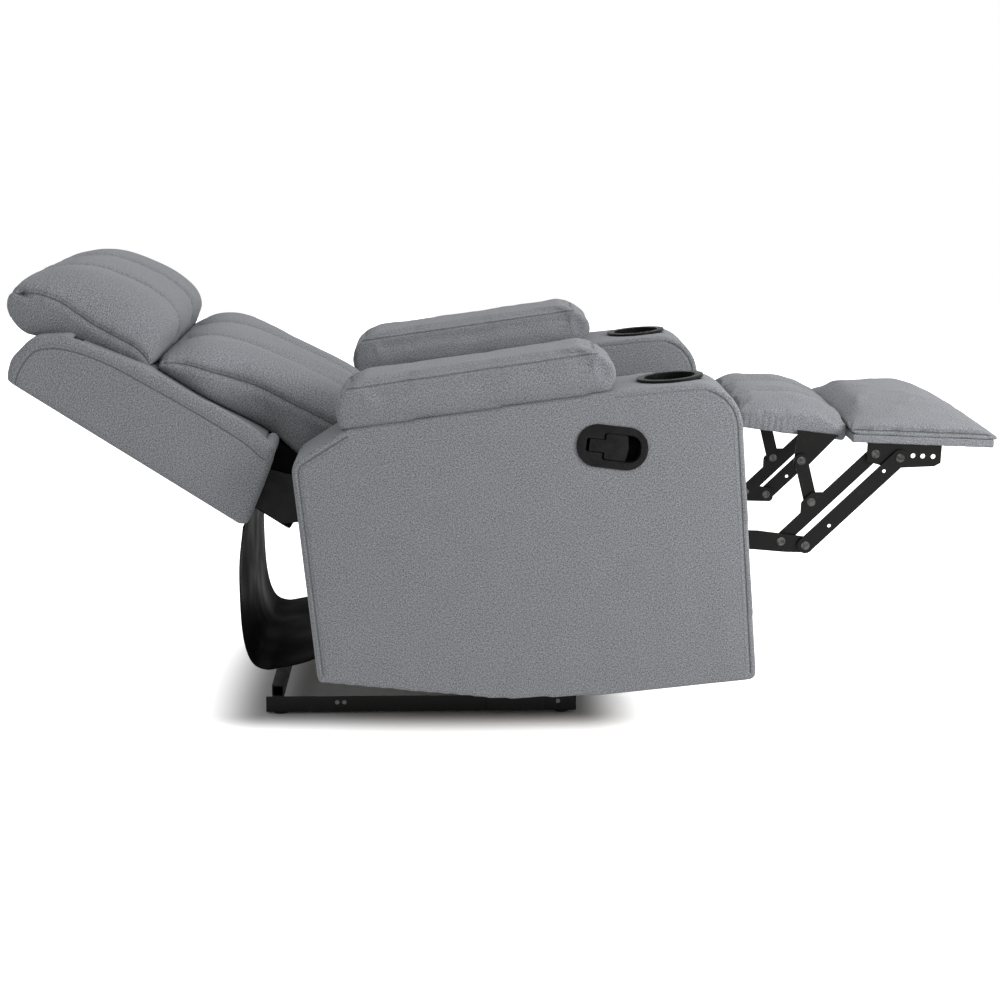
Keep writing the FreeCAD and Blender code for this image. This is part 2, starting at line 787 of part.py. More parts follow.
def seat_cushion():
    low = cushion_low
    high = low + S.cushion_thick
    nose = S.cushion_nose_f
    outline = (
        (S.seat_rear_f, low), (S.seat_front_f + 30, low), (nose - 40, low + 24), (nose - 8, low + 52),
        (nose, high - 20), (nose - 60, high + 8), (S.seat_rear_f + 40, high - 8), (S.seat_rear_f, high - 20),
    )
    keep("seat_cushion", prism("seat_cushion", outline, S.seat_width - S.cushion_side_gap * 2, SEAT,
                               rounds=((18, (3, 4, 5)), (10, (6, 7)))))


def side_plates():
    front = (S.drive_f, S.drive_z)
    rear = (S.back_pivot_f, S.back_pivot_z)
    r = S.link_width
    outline = (
        (rear[0] - r, rear[1] - 10), (S.rock_f - 28, S.rock_z - 18), (S.rock_f + 28, S.rock_z - 18),
        (S.cross_tube_f + 30, S.cross_tube_z - 22),
        (front[0] - 22, front[1] - 30), (front[0] + 20, front[1] - 12),
        (front[0] + 20, front[1] + 20), (S.seat_front_f, S.rail_top - 6), (rear[0] + 60, S.rail_top - 4),
        (rear[0] + 22, rear[1] + r - 4), (rear[0] - r, rear[1] + r - 4),
    )
    holes = (
        (*front, shank), (*rear, shank), (S.rock_f, S.rock_z, S.rock_pin / 2 + S.running_fit),
    )
    for side, word in SIDES:
        name = "side_plate_" + word
        keep(name, plate(name, side, outline, plate_layer, SEAT, holes=holes,
                         rounds=((S.link_width / 2 - 2, (0, 1, 2, 5, 6, 9, 10)),)))

    keep("seat_cross_tube", square_tube("seat_tube", plate_layer * 2, S.cross_tube,
                                        S.cross_tube_f, S.cross_tube_z, SEAT))


def rear_cloth():
    """Black cloth that hangs from under the back and curls forward under the seat."""
    path = ((-312, 372), (-326, 310), (-333, 245), (-335, 195), (-331, 160), (-321, 139),
            (-303, 130), (-285, 130), (-245, 134), (-212, 142))
    outer = [(f, z) for f, z in path]
    inner = [(f + number(S.cloth_thick), z + number(S.cloth_thick) * lift)
             for (f, z), lift in zip(path, (0, 0, 0, 0, 0.2, 0.6, 0.9, 1, 1, 1))]
    outline = outer + inner[::-1]
    keep("rear_cloth", prism("rear_cloth", outline, cloth_half * 2, SEAT))


# ---------------------------------------------------------------- back
def back_pieces():
    low = S.back_low_z
    high = S.back_high_z
    rear = S.back_rear_f
    front = S.back_front_f
    outline = (
        (rear + 2, low), (0, low + 19), (front - 15, low + 34), (front, low + 77), (front - 12, low + 264),
        (front - 35, high - 59), (-20, high - 11), (-68, high), (rear, high - 12),
    )
    w = S.wall
    hollow = (
        (rear + w, low + w), (0, low + 19 + w), (front - 15, low + 34 + w), (front + 40, low + 60),
        (front + 40, high - 70), (front - 35, high - 59 - w), (-24, high - 12 - w),
        (-66, high - w), (rear + w, high - 24),
    )
    shell = prism("back_shell", outline, back_half * 2, BACK,
                  rounds=((24, (6, 7)), (16, (2, 3)), (10, (0, 1, 8))),
                  hollow=hollow, hollow_width=back_half * 2 - w * 2)
    # between the wings the shell is open below, where the lower back passes
    passage = box("back_passage", (back_core_half + S.bracket_thick + 1) * 2, rear + w, front + 20,
                  low - 10, low + 60, BACK)
    keep("back_shell", cut("back_shell", shell, passage))

    face = S.deck_face_f
    deck = (
        (face, low + 34 + w + 1), (face, S.lumbar_high_z + 6), (12, high - 78), (0, high - 78),
        (face - w, S.lumbar_high_z + 4), (face - w, low + 34 + w + 1),
    )
    keep("back_deck", prism("back_deck", deck, (back_half - w) * 2 - 1, BACK))

    core_low = low - 66
    core_high = low + 34
    post_front = rear + w + S.back_post
    post_rear = rear + w
    half = S.bracket_wide / 2
    bracket = (
        (-half, -half), (half, -half), (half, half), (post_front - 4, S.bracket_tall),
        (post_rear + 6, S.bracket_tall), (post_rear + 6, low - 49),
    )
    wing = (
        (post_rear, low + w + 8), (post_front + 10, low + w + 30), (face - w, low + 60),
        (face - w, low + 240), (-30, high - 60), (-70, high - 34), (post_rear, high - 40),
    )
    for side, word in SIDES:
        name = "back_bracket_" + word
        keep(name, plate(name, side, bracket, back_core_half, BACK, thick=S.bracket_thick,
                         holes=((0, 0, running_hole),), rounds=((half - 2, (0, 1)), (8, (3, 4)))))

    def post(name, side):
        return box(name, S.rail_wide, post_rear, post_front, core_high, high - 40, BACK,
                   side * (back_core_half - S.rail_wide / 2).value)
    both_sides("back_posts", post)

    def wing_board(name, side):
        return plate(name, side, wing, back_half - w - S.board_thick, BACK, thick=S.board_thick)
    both_sides("wing_boards", wing_board)
    between = (back_core_half - S.rail_wide) * 2
    rail = S.rail_wide * 2
    keep("back_rails", group("back_rails", [
        box("back_rail_%d" % k, between, post_rear, post_rear + S.rail_wide, z, z + rail, BACK)
        for k, z in enumerate((core_high, low + 180, high - 40 - rail))
    ]))

    wall = S.cloth_thick
    outer = ((post_rear, core_low), (26, core_low), (26, core_high), (post_rear, core_high))
    inner = ((post_rear + wall, core_low + wall), (26 - wall, core_low + wall), (26 - wall, core_high + 10),
             (post_rear + wall, core_high + 10))
    keep("back_skirt", prism("back_skirt", outer, back_core_half * 2 - 1, BACK,
                             hollow=inner, hollow_width=back_core_half * 2 - 1 - wall * 2))


def lumbar():
    soft_face = S.deck_face_f + S.soft_gap
    crest = soft_face + S.lumbar_soft
    low = S.lumbar_low_z
    step = S.lumbar_step_z
    high = S.lumbar_high_z
    lower = ((soft_face, low), (crest, low), (crest, step), (soft_face, step))
    upper = ((soft_face, step), (crest, step), (crest - 14, high - 85), (crest - 34, high - 40),
             (crest - 56, high - 14), (soft_face, high))
    narrow = prism("lumbar_lower", lower, (arm_inner - 9) * 2, BACK, rounds=((20, (1,)),))
    wide = prism("lumbar_upper", upper, lumbar_half * 2, BACK, rounds=((14, (3, 4)),))
    keep("lumbar_cushion", fuse("lumbar_cushion", narrow, wide))


def pillow():
    soft_face = S.deck_face_f + S.soft_gap
    low = S.lumbar_high_z + 6 + S.soft_gap
    high = S.back_high_z
    outline = (
        (soft_face, low), (soft_face - 16, high - 44), (-20, high + 3), (-30, high + 30), (-18, high + 84),
        (14, high + 92), (80, high + 32), (118, high - 20), (132, high - 76), (128, low + 34), (108, low - 2),
    )
    keep("head_pillow", prism("head_pillow", outline, pillow_half * 2, BACK,
                              rounds=((16, (4, 5, 6, 7, 8, 9)),)))


def back_pins():
    def pin(name, side):
        bracket_outer = back_core_half + S.bracket_thick
        return fuse(
            name,
            rod(name + "_shank", side, back_core_half - 3, arm_inner - 0.5, shank, SEAT,
                S.back_pivot_f, S.back_pivot_z),
            rod(name + "_head", side, back_core_half - 3, back_core_half - S.face_gap, head, SEAT,
                S.back_pivot_f, S.back_pivot_z),
            rod(name + "_spacer", side, bracket_outer + S.face_gap, plate_layer, head, SEAT,
                S.back_pivot_f, S.back_pivot_z),
        )
    both_sides("back_pivot_pins", pin)
    note("back_recline", SEAT, S.back_pivot_f, S.back_pivot_z)


# ---------------------------------------------------------------- footrest
def footrest_links():
    half = S.link_width / 2
    crank_frame = inside(SEAT, S.drive_f, S.drive_z, S.crank_angle)
    end = S.crank_length + S.crank_tail
    crank = (
        (-half, -half), (S.crank_length - 40, -half - 3),
        (S.crank_length + 8, -half - 5), (end + half, -half - 4),
        (end + half, half - 5), (S.crank_length + 20, half - 2),
        (S.crank_length - 40, half + 3), (-half, half),
    )
    crank_holes = ((0, 0, running_hole), (S.crank_length, 0, shank), (end, -S.crank_drop, shank))
    bar = ((-half, -half), (S.arm_length + half, -half), (S.arm_length + half, half), (-half, half))
    long_holes = (
        (0, 0, running_hole), (S.arm_length, 0, shank), (S.arm_length * 0.24, -3, 3),
        (S.arm_length * 0.84, 2, 3),
    )
    lug = S.toggle_along
    slim = half - 2
    short = (
        (-half, -slim), (S.arm_length + half, -slim), (S.arm_length + half, slim), (lug + half + 12, slim),
        (lug + half - 1, S.toggle_up + slim), (lug - half + 1, S.toggle_up + slim), (lug - half - 12, slim),
        (-half, slim),
    )
    short_holes = ((0, 0, running_hole), (S.arm_length, 0, shank), (lug, S.toggle_up, shank))
    toggle = ((-slim, -slim), (S.toggle_length + slim, -slim), (S.toggle_length + slim, slim), (-slim, slim))
    toggle_holes = ((0, 0, running_hole), (S.toggle_length, 0, shank))
    ends = half - 1
    arm_place = S.arm_angle
    links = (
        ("crank", crank, crank_layer, crank_frame, crank_holes, ((ends - 2, (0, 7)), (8, (3, 4)))),
        ("long_arm", bar, long_layer, inside(SEAT, *ankle, arm_place), long_holes, ((ends, (0, 1, 2, 3)),)),
        ("short_arm", short, short_layer, inside(SEAT, *knee, arm_place), short_holes,
         ((slim - 1, (0, 1, 2, 7)), (8, (4, 5)))),
        ("toggle_link", toggle, toggle_layer, inside(SEAT, *toggle_low, S.toggle_angle), toggle_holes,
         ((slim - 1, (0, 1, 2, 3)),)),
    )
    for link, outline, layer, frame, holes, rounds in links:
        for side, word in SIDES:
            name = "%s_%s" % (link, word)
            keep(name, plate(name, side, outline, layer, frame, holes=holes, rounds=rounds))
    tube = rod("drive_tube_outer", LEFT, -crank_layer, crank_layer, S.drive_tube / 2, crank_frame)
    bore = rod("drive_tube_inner", LEFT, -crank_layer - 1, crank_layer + 1,
               S.drive_tube / 2 - S.drive_tube_wall, crank_frame)
    keep("drive_tube", cut("drive_tube", tube, bore))


def footrest_rivets():
    def crank_rivets(name, side):
        return group(name, [
            rivet(name + "_knee", side, knee, crank_layer, short_layer, True),
            rivet(name + "_ankle", side, ankle, long_layer, crank_layer, False),
        ])

    def short_arm_rivets(name, side):
        return group(name, [
            rivet(name + "_hanger", side, hanger_rear, crank_layer, short_layer, False),
            rivet(name + "_toggle", side, toggle_low, short_layer, toggle_layer, True),
        ])

    def long_arm_rivets(name, side):
        return rivet(name, side, hanger_front, long_layer, crank_layer, True)

    def toggle_rivets(name, side):
        return rivet(name, side, toggle_high, toggle_layer, middle_layer, True)

    both_sides("drive_pins", drive_pin)
    both_sides("crank_rivets", crank_rivets)
    both_sides("short_arm_rivets", short_arm_rivets)
    both_sides("long_arm_rivets", long_arm_rivets)
    both_sides("toggle_rivets", toggle_rivets)
    note("footrest_fold", SEAT, S.drive_f, S.drive_z)
    note("short_arm", SEAT, *knee)
    note("long_arm", SEAT, *ankle)
    note("footrest", SEAT, *hanger_rear)
    note("toggle", SEAT, *toggle_low)
    note("middle_rest", SEAT, *toggle_high)


def drive_pin(name, side):
    """The stud on the side plate that the crank turns on."""
    point = (S.drive_f, S.drive_z)
    tip = crank_layer - S.face_gap - S.rivet_head_thick
    return fuse(
        name,
        rod(name + "_shank", side, tip, arm_inner - 0.5, shank, SEAT, *point),
        rod(name + "_head", side, tip, crank_layer - S.face_gap, head, SEAT, *point),
        rod(name + "_spacer", side, crank_layer + S.steel + S.face_gap, plate_layer, head, SEAT, *point),
    )


def rest_with_brackets(name, frame, width, length, board, soft, over):
    """A board and the cushion on it; `over` is how far the cushion passes its front."""
    plank = ((0, 0), (length, 0), (length, board), (0, board))
    keep(name + "_board", prism(name + "_board", plank, width, frame))
    low = board + S.soft_gap
    outline = (
        (4, low), (length - 2 + over, low), (length + over, low + 14), (length - 34, low + soft - 6),
        (length * 0.55, low + soft), (24, low + soft - 8), (-4, low + 16),
    )
    keep(name + "_cushion", prism(name + "_cushion", outline, width + 4, frame,
                                  rounds=((7, (2, 6)), (14, (3, 4, 5)))))


def angle_brackets(name, frame, layer, outline, holes):
    """Two steel angles under a board: a web with holes and a flange turned inwards."""
    for side, word in SIDES:
        label = "%s_bracket_%s" % (name, word)
        web = plate(label + "_web", side, outline, layer, frame, holes=holes)
        flange_middle = side * (size(layer) + S.steel - S.bracket_flange / 2).value
        flange = box(label + "_flange", S.bracket_flange, outline[0][0], outline[1][0], -S.steel, 0,
                     frame, flange_middle)
        keep(label, fuse(label, web, flange))


def rests():
    rest_with_brackets("footrest", FOOTREST, footrest_half * 2, S.footrest_length, S.footrest_board,
                       S.footrest_soft, S.footrest_overhang)
    along = S.hanger_along
    drop = S.hanger_drop + 17
    outline = (
        (along - 14, 0), (along + 108, 0), (along + 108, -drop + 6), (along + 98, -drop),
        (along + 26, -drop - 6), (along - 14, -drop + 4),
    )
    pins = [(along, -S.hanger_drop, running_hole), (*footrest_local(hanger_front), running_hole)]
    spares = [(along + step, -S.hanger_drop - 1, S.adjust_hole / 2) for step in (62, 78, 95)]
    angle_brackets("footrest", FOOTREST, crank_layer, outline, pins + spares)

    rest_with_brackets("middle", MIDDLE, middle_half * 2, S.middle_length, S.middle_board,
                       S.middle_soft, -S.middle_clearance)
    pin = S.middle_hinge_along
    drop = S.middle_hinge_drop
    half = S.link_width / 2 - 2
    outline = ((pin - half, 0), (pin + half + 44, 0), (pin + half, -drop - half), (pin - half, -drop - half))
    angle_brackets("middle", MIDDLE, middle_layer, outline, [(pin, -drop, running_hole)])


def footrest_local(point):
    """A point of the seat's drawing in the footrest board's own drawing."""
    a = math.radians(S.footrest_angle.value)
    df = point[0] - footrest_rear[0]
    dz = point[1] - footrest_rear[1]
    return df * math.cos(a) + dz * math.sin(a), dz * math.cos(a) - df * math.sin(a)


# ---------------------------------------------------------------- build
base_rails()
base_tubes()
floor_glides()
rocker_posts()
arm_shells()
arm_boards()
arm_pads()
latch()
seat_rails()
zigzag_springs()
seat_cushion()
side_plates()
rear_cloth()
back_pieces()
lumbar()
pillow()
back_pins()
footrest_links()
footrest_rivets()
rests()
doc.recompute()

# The chair's middle, fore and aft, goes over the origin.
everything = FreeCAD.BoundBox()
for piece in parts.values():
    everything.add(piece.Shape.BoundBox)
centre_shift = FreeCAD.Placement(FreeCAD.Vector(0, -everything.Center.y, 0), FreeCAD.Rotation())
for piece in parts.values():
    piece.Placement = centre_shift.multiply(piece.Placement)
doc.recompute()

for item in doc.Objects:
    bad = [state for state in item.State if state in ("Invalid", "Error")]
    if bad:
        raise RuntimeError("%s is %s" % (item.Label, bad))

os.makedirs("parts", exist_ok=True)
for label, piece in parts.items():
    if piece.Shape.isNull() or not piece.Shape.isValid() or not piece.Shape.Solids:
        raise RuntimeError("bad shape: " + label)
    piece.Shape.exportStep("parts/%s.step" % label)

for name, point in pivots.items():
    spot = centre_shift.multVec(point)
    print("pivot %s %.3f %.3f %.3f" % (name, spot.x, spot.y, spot.z))
print("nodes %d, length %.1f, width %.1f, height %.1f" % (
    len(parts), everything.YLength, everything.XLength, everything.ZMax))
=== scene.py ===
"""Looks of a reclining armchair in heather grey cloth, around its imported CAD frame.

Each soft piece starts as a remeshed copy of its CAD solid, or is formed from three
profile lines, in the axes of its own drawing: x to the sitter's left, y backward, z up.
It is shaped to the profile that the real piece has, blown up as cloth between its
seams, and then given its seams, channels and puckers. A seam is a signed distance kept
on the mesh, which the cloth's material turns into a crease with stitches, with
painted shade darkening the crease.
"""

import json
import math

import bmesh
import bpy
import numpy as np
from mathutils import Matrix, Vector
from mathutils.geometry import convex_hull_2d


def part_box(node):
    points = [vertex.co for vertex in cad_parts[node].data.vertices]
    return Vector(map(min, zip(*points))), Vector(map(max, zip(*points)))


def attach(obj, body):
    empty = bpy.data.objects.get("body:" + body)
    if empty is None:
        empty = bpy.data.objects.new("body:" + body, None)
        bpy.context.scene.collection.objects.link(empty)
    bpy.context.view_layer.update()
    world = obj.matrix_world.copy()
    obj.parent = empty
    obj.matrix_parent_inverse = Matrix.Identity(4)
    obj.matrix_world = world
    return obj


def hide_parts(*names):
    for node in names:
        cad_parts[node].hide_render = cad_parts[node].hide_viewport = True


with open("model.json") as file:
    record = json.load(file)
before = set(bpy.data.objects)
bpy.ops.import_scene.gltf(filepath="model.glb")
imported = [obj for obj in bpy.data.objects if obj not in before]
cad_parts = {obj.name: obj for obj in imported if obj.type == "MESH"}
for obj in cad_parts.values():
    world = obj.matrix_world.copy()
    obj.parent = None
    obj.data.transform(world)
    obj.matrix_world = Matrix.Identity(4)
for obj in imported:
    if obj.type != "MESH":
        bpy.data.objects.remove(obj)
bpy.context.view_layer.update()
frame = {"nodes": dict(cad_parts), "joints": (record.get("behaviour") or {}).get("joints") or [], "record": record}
nodes = frame["nodes"]
pivots = {joint["name"]: Vector(joint["pos_m"]) for joint in frame["joints"]}

# --------------------------------------------------------------------------- places

SEAT_ANGLE = 6.0  # degrees, front up
BACK_ANGLE = 57.0  # laid back from upright
SEAT_PIVOT = (0.110, 0.130)  # forward and up, in the seat's drawing
FOOTREST_PIN = (0.0396, -0.0187)  # from the board's rear lower edge
FOOTREST_ANGLE = -8.5
MIDDLE_PIN = (0.107, -0.0484)
MIDDLE_ANGLE = -13.3


def drawing(origin, degrees, known=(0.0, 0.0)):
    """The axes of a drawing turned front up, with its point known at origin."""
    turn = Matrix.Rotation(math.radians(-degrees), 4, "X")
    return (
        Matrix.Translation(origin)
        @ turn
        @ Matrix.Translation((0, known[0], -known[1]))
    )


SEAT = drawing(pivots["seat_tilt"], SEAT_ANGLE, SEAT_PIVOT)
BACK = drawing(pivots["back_recline"], BACK_ANGLE)
FOOTREST = drawing(
    pivots["footrest_turn"], SEAT_ANGLE + FOOTREST_ANGLE, FOOTREST_PIN
)
MIDDLE = drawing(pivots["middle_rest_turn"], SEAT_ANGLE + MIDDLE_ANGLE, MIDDLE_PIN)

# --------------------------------------------------------------------------- meshes


def coordinates(piece):
    """x, forward and up of every vertex, in the piece's drawing, in metres."""
    flat = np.empty(len(piece.data.vertices) * 3)
    piece.data.vertices.foreach_get("co", flat)
    x, backward, up = flat.reshape(-1, 3).T.copy()
    return x, -backward, up


def move_to(piece, x, forward, up):
    flat = np.column_stack((x, -forward, up)).astype(np.float32).ravel()
    piece.data.vertices.foreach_set("co", flat)
    piece.data.update()


def normals(piece):
    """x, forward and up parts of every vertex normal."""
    flat = np.empty(len(piece.data.vertices) * 3)
    piece.data.vertex_normals.foreach_get("vector", flat)
    x, backward, up = flat.reshape(-1, 3).T.copy()
    return x, -backward, up


def press_in(piece, depth):
    """Moves each vertex against its normal by depth, which is one number for each."""
    moved = [c - n * depth for c, n in zip(coordinates(piece), normals(piece))]
    move_to(piece, *moved)


def settle(piece):
    """Applies the piece's modifiers."""
    bpy.context.view_layer.update()
    shown = piece.evaluated_get(bpy.context.evaluated_depsgraph_get())
    mesh = bpy.data.meshes.new_from_object(shown)
    piece.modifiers.clear()
    piece.data = mesh


def soften(piece, rounds):
    smooth = piece.modifiers.new("Smooth", "SMOOTH")
    smooth.iterations = rounds
    settle(piece)


def subdivide(piece):
    piece.modifiers.new("Subdivision", "SUBSURF").levels = 1
    settle(piece)


def cover(name, node, place, voxel=0.005, rounds=6):
    """A remeshed copy of a CAD node in the axes of a drawing, to be made into cloth."""
    mesh = nodes[node].data.copy()
    mesh.materials.clear()
    mesh.transform(place.inverted())
    return remeshed(name, mesh, place, voxel, rounds)


def along(line, t):
    """The points at shares t of the length of a line of (forward, up) points."""
    line = rounded(line)
    way = np.concatenate(([0], np.cumsum(np.hypot(*np.diff(line, axis=0).T))))
    return np.array([np.interp(t * way[-1], way, part) for part in line.T])


def quads(rows, wide):
    """The faces of a grid of points, rows by wide."""
    index = np.arange((rows - 1) * wide).reshape(-1, wide)[:, :-1].ravel()
    return np.column_stack((index, index + 1, index + wide + 1, index + wide))


def formed(name, place, seam, front, rear, half, reach, voxel=0.005, rounds=3):
    """A closed cushion whose front and rear meet in a seam at each end.

    seam, front and rear are lines of (forward, up) points from the cushion's top to its
    bottom. half gives its half width at each share of the seam, and reach how far in
    from its ends the front and the rear have their full depth.
    """
    t = np.linspace(0, 1, 90)
    u = np.sin(np.linspace(-1, 1, 141) * math.pi / 2)
    base = along(seam, t)[:, :, None]
    x = half(t)[:, None] * u
    points = []
    for line, inward in zip((front, rear), reach):
        full = along(line, t)[:, :, None]
        share = np.clip((half(t)[:, None] - np.abs(x)) / inward, 0, 1)
        f, z = base + (full - base) * np.sqrt(1 - (1 - share) ** 2)
        points.append(np.column_stack((x.ravel(), -f.ravel(), z.ravel())))
    front_faces = quads(len(t), len(u))
    rear_faces = front_faces[:, ::-1] + len(t) * len(u)
    faces = np.vstack((front_faces, rear_faces))
    mesh = bpy.data.meshes.new(name)
    mesh.from_pydata(np.vstack(points).tolist(), [], faces.tolist())
    shell = bmesh.new()
    shell.from_mesh(mesh)
    bmesh.ops.remove_doubles(shell, verts=shell.verts, dist=1e-6)
    bmesh.ops.recalc_face_normals(shell, faces=shell.faces)
    shell.to_mesh(mesh)
    shell.free()
    return remeshed(name, mesh, place, voxel, rounds)


def remeshed(name, mesh, place, voxel, rounds):
    """A new piece from a mesh that is in the axes of a drawing."""
    piece = bpy.data.objects.new(name, mesh)
    bpy.context.scene.collection.objects.link(piece)
    piece.matrix_world = place
    remesh = piece.modifiers.new("Remesh", "REMESH")
    remesh.mode = "VOXEL"
    remesh.voxel_size = voxel
    settle(piece)
    soften(piece, rounds)
    return piece


def blow_up(piece, held, pressure=4.0, cap=0.02, slack=0.0):
    """Swells the piece as cloth that is held where the array held is true."""
    start = np.array(coordinates(piece))
    group = piece.vertex_groups.new(name="held")
    group.add(np.flatnonzero(held).tolist(), 1.0, "REPLACE")
    cloth = piece.modifiers.new("Cloth", "CLOTH").settings
    cloth.quality = 5
    cloth.mass = 0.3
    cloth.tension_stiffness = cloth.compression_stiffness = 15
    cloth.shear_stiffness = 5
    cloth.bending_stiffness = 0.5
    cloth.use_pressure = True
    cloth.uniform_pressure_force = pressure
    cloth.vertex_group_mass = "held"
    cloth.effector_weights.gravity = 0
    cloth.shrink_min = -slack
    for step in range(1, 21):
        bpy.context.scene.frame_set(step)
    settle(piece)
    bpy.context.scene.frame_set(1)
    moved = np.array(coordinates(piece)) - start
    length = np.linalg.norm(moved, axis=0)
    moved *= np.minimum(1.0, cap / np.maximum(length, 1e-9))
    move_to(piece, *(start + moved))
    piece.vertex_groups.clear()


def step_up(value, low, high):
    """0 below low, 1 above high, smooth between."""
    t = np.clip((value - low) / (high - low), 0, 1)
    return t * t * (3 - 2 * t)


def ripple(t, seed=0.0):
    """An uneven wave along t, within about -1 to 1, with its longest wave near 2 pi."""
    return (
        np.sin(t + seed)
        + 0.6 * np.sin(2.3 * t + 1.7 * seed + 1.0)
        + 0.4 * np.sin(4.1 * t + 2.9 * seed + 2.0)
    ) / 2


def unevenness(piece, size, wave, seed=0.0):
    """Slight hollows and swells all over, size high and about wave long."""
    x, f, z = coordinates(piece)
    k = 2 * math.pi / wave
    press_in(
        piece,
        size * ripple(k * (x + 0.4 * z), seed) * ripple(k * (f - 0.3 * x), seed + 2),
    )


# --------------------------------------------------------------------------- seams


def rounded(points, step=0.004):
    """Points step apart along a smooth line through the given (forward, up) points."""
    p = np.array(points, float)
    p = np.vstack((2 * p[0] - p[1], p, 2 * p[-1] - p[-2]))
    line = []
    for a, b, c, d in zip(p, p[1:], p[2:], p[3:]):
        t = np.linspace(0, 1, max(2, int(np.hypot(*(c - b)) / step)), endpoint=False)
        t = t[:, None]
        line.append(
            b
            + (c - a) * t / 2
            + (2 * a - 5 * b + 4 * c - d) * t**2 / 2
            + (3 * b - a - 3 * c + d) * t**3 / 2
        )
    return np.vstack((*line, p[-2:-1]))


def from_line(line, f, z):
    """Signed distance from a line, the run along it and the line's heading there.

    The line is made of (forward, up) points, and so is its heading.
    """
    best = np.full(len(f), 1e9)
    side, run = np.zeros(len(f)), np.zeros(len(f))
    heading = np.zeros((len(f), 2))
    start = 0.0
    for a, b in zip(line, line[1:]):
        d = b - a
        length = math.hypot(*d)
        t = np.clip(((f - a[0]) * d[0] + (z - a[1]) * d[1]) / length**2, 0, 1)
        away = np.hypot(f - a[0] - t * d[0], z - a[1] - t * d[1])
        near = away < best
        best[near] = away[near]
        side[near] = np.sign(d[0] * (z - a[1]) - d[1] * (f - a[0]))[near]
        run[near] = (start + t * length)[near]
        heading[near] = d / length
        start += length
    return best * np.where(side < 0, -1, 1), run, heading


def outline(piece):
    """The piece's convex outline seen from its side, as a closed anticlockwise line."""
    x, f, z = coordinates(piece)
    points = [Vector(p) for p in zip(f, z)]
    ring = [np.array(points[i]) for i in convex_hull_2d(points)]
    area = sum(a[0] * b[1] - a[1] * b[0] for a, b in zip(ring, ring[1:] + ring[:1]))
    if area < 0:
        ring.reverse()
    return np.array([*ring, ring[0]])


class Seams:
    """The seams of one piece. distance is signed, run is the way along the seam."""

    def __init__(self, piece):
        self.piece = piece
        count = len(piece.data.vertices)
        self.distance = np.full(count, 0.1)
        self.run = np.zeros(count)
        self.shown = np.zeros(count)

    def add(self, distance, run, where, strength=1.0):
        """One more seam, on the vertices where the array where is true."""
        nearer = where & (np.abs(distance) < np.abs(self.distance))
        self.distance[nearer] = distance[nearer]
        self.run[nearer] = run[nearer]
        self.shown[nearer] = np.broadcast_to(strength, len(run))[nearer]
        return self

    def sink(self, depth, width, where=None):
        """Draws the cloth in along the seams."""
        share = np.exp(-((self.distance / width) ** 2)) * self.shown
        press_in(self.piece, depth * share * (1 if where is None else where))

    def pucker(self, size, reach, wave=0.018, where=None, seed=0.0):
        """Small folds across the seams, which fade away from them."""
        share = np.exp(-np.abs(self.distance) / reach) * self.shown
        folds = ripple(2 * math.pi * self.run / wave, seed)
        press_in(self.piece, size * share * folds * (1 if where is None else where))

    def keep(self):
        """Stores the seams on the mesh for the cloth's material."""
        mesh = self.piece.data
        kept = mesh.attributes.new("seam", "FLOAT_VECTOR", "POINT")
        values = np.column_stack((self.distance, self.run, self.shown))
        kept.data.foreach_set("vector", values.astype(np.float32).ravel())


def weave_map(piece):
    """A UV map in metres, laid flat on each face from the side that it faces most."""
    mesh = piece.data
    while mesh.uv_layers:
        mesh.uv_layers.remove(mesh.uv_layers[0])
    layer = mesh.uv_layers.new(name="weave")
    facing = np.empty(len(mesh.polygons) * 3)
    mesh.polygons.foreach_get("normal", facing)
    facing = np.abs(facing.reshape(-1, 3)).argmax(axis=1)
    sizes = np.empty(len(mesh.polygons), np.int32)
    mesh.polygons.foreach_get("loop_total", sizes)
    corner = np.empty(len(mesh.loops), np.int32)
    mesh.loops.foreach_get("vertex_index", corner)
    facing = np.repeat(facing, sizes)
    points = np.empty(len(mesh.vertices) * 3)
    mesh.vertices.foreach_get("co", points)
    points = points.reshape(-1, 3)[corner]
    across = np.where(facing == 0, points[:, 1], points[:, 0])
    along = np.where(facing == 2, points[:, 1], points[:, 2])
    layer.data.foreach_set(
        "uv", np.column_stack((across, along)).astype(np.float32).ravel()
    )


def finish_cloth(piece, material, body, stands_for, seams=None):
    """The weave, the material, the body it moves with and the hiding of the CAD parts it stands for, which every
    soft piece has.
    """
    if seams is not None:
        seams.keep()
    weave_map(piece)
    piece.data.materials.clear()
    piece.data.materials.append(material)
    piece.data.shade_smooth()
    piece.data.transform(piece.matrix_world)
    piece.matrix_world = Matrix.Identity(4)
    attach(piece, body)
    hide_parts(*stands_for)


# --------------------------------------------------------------------------- materials


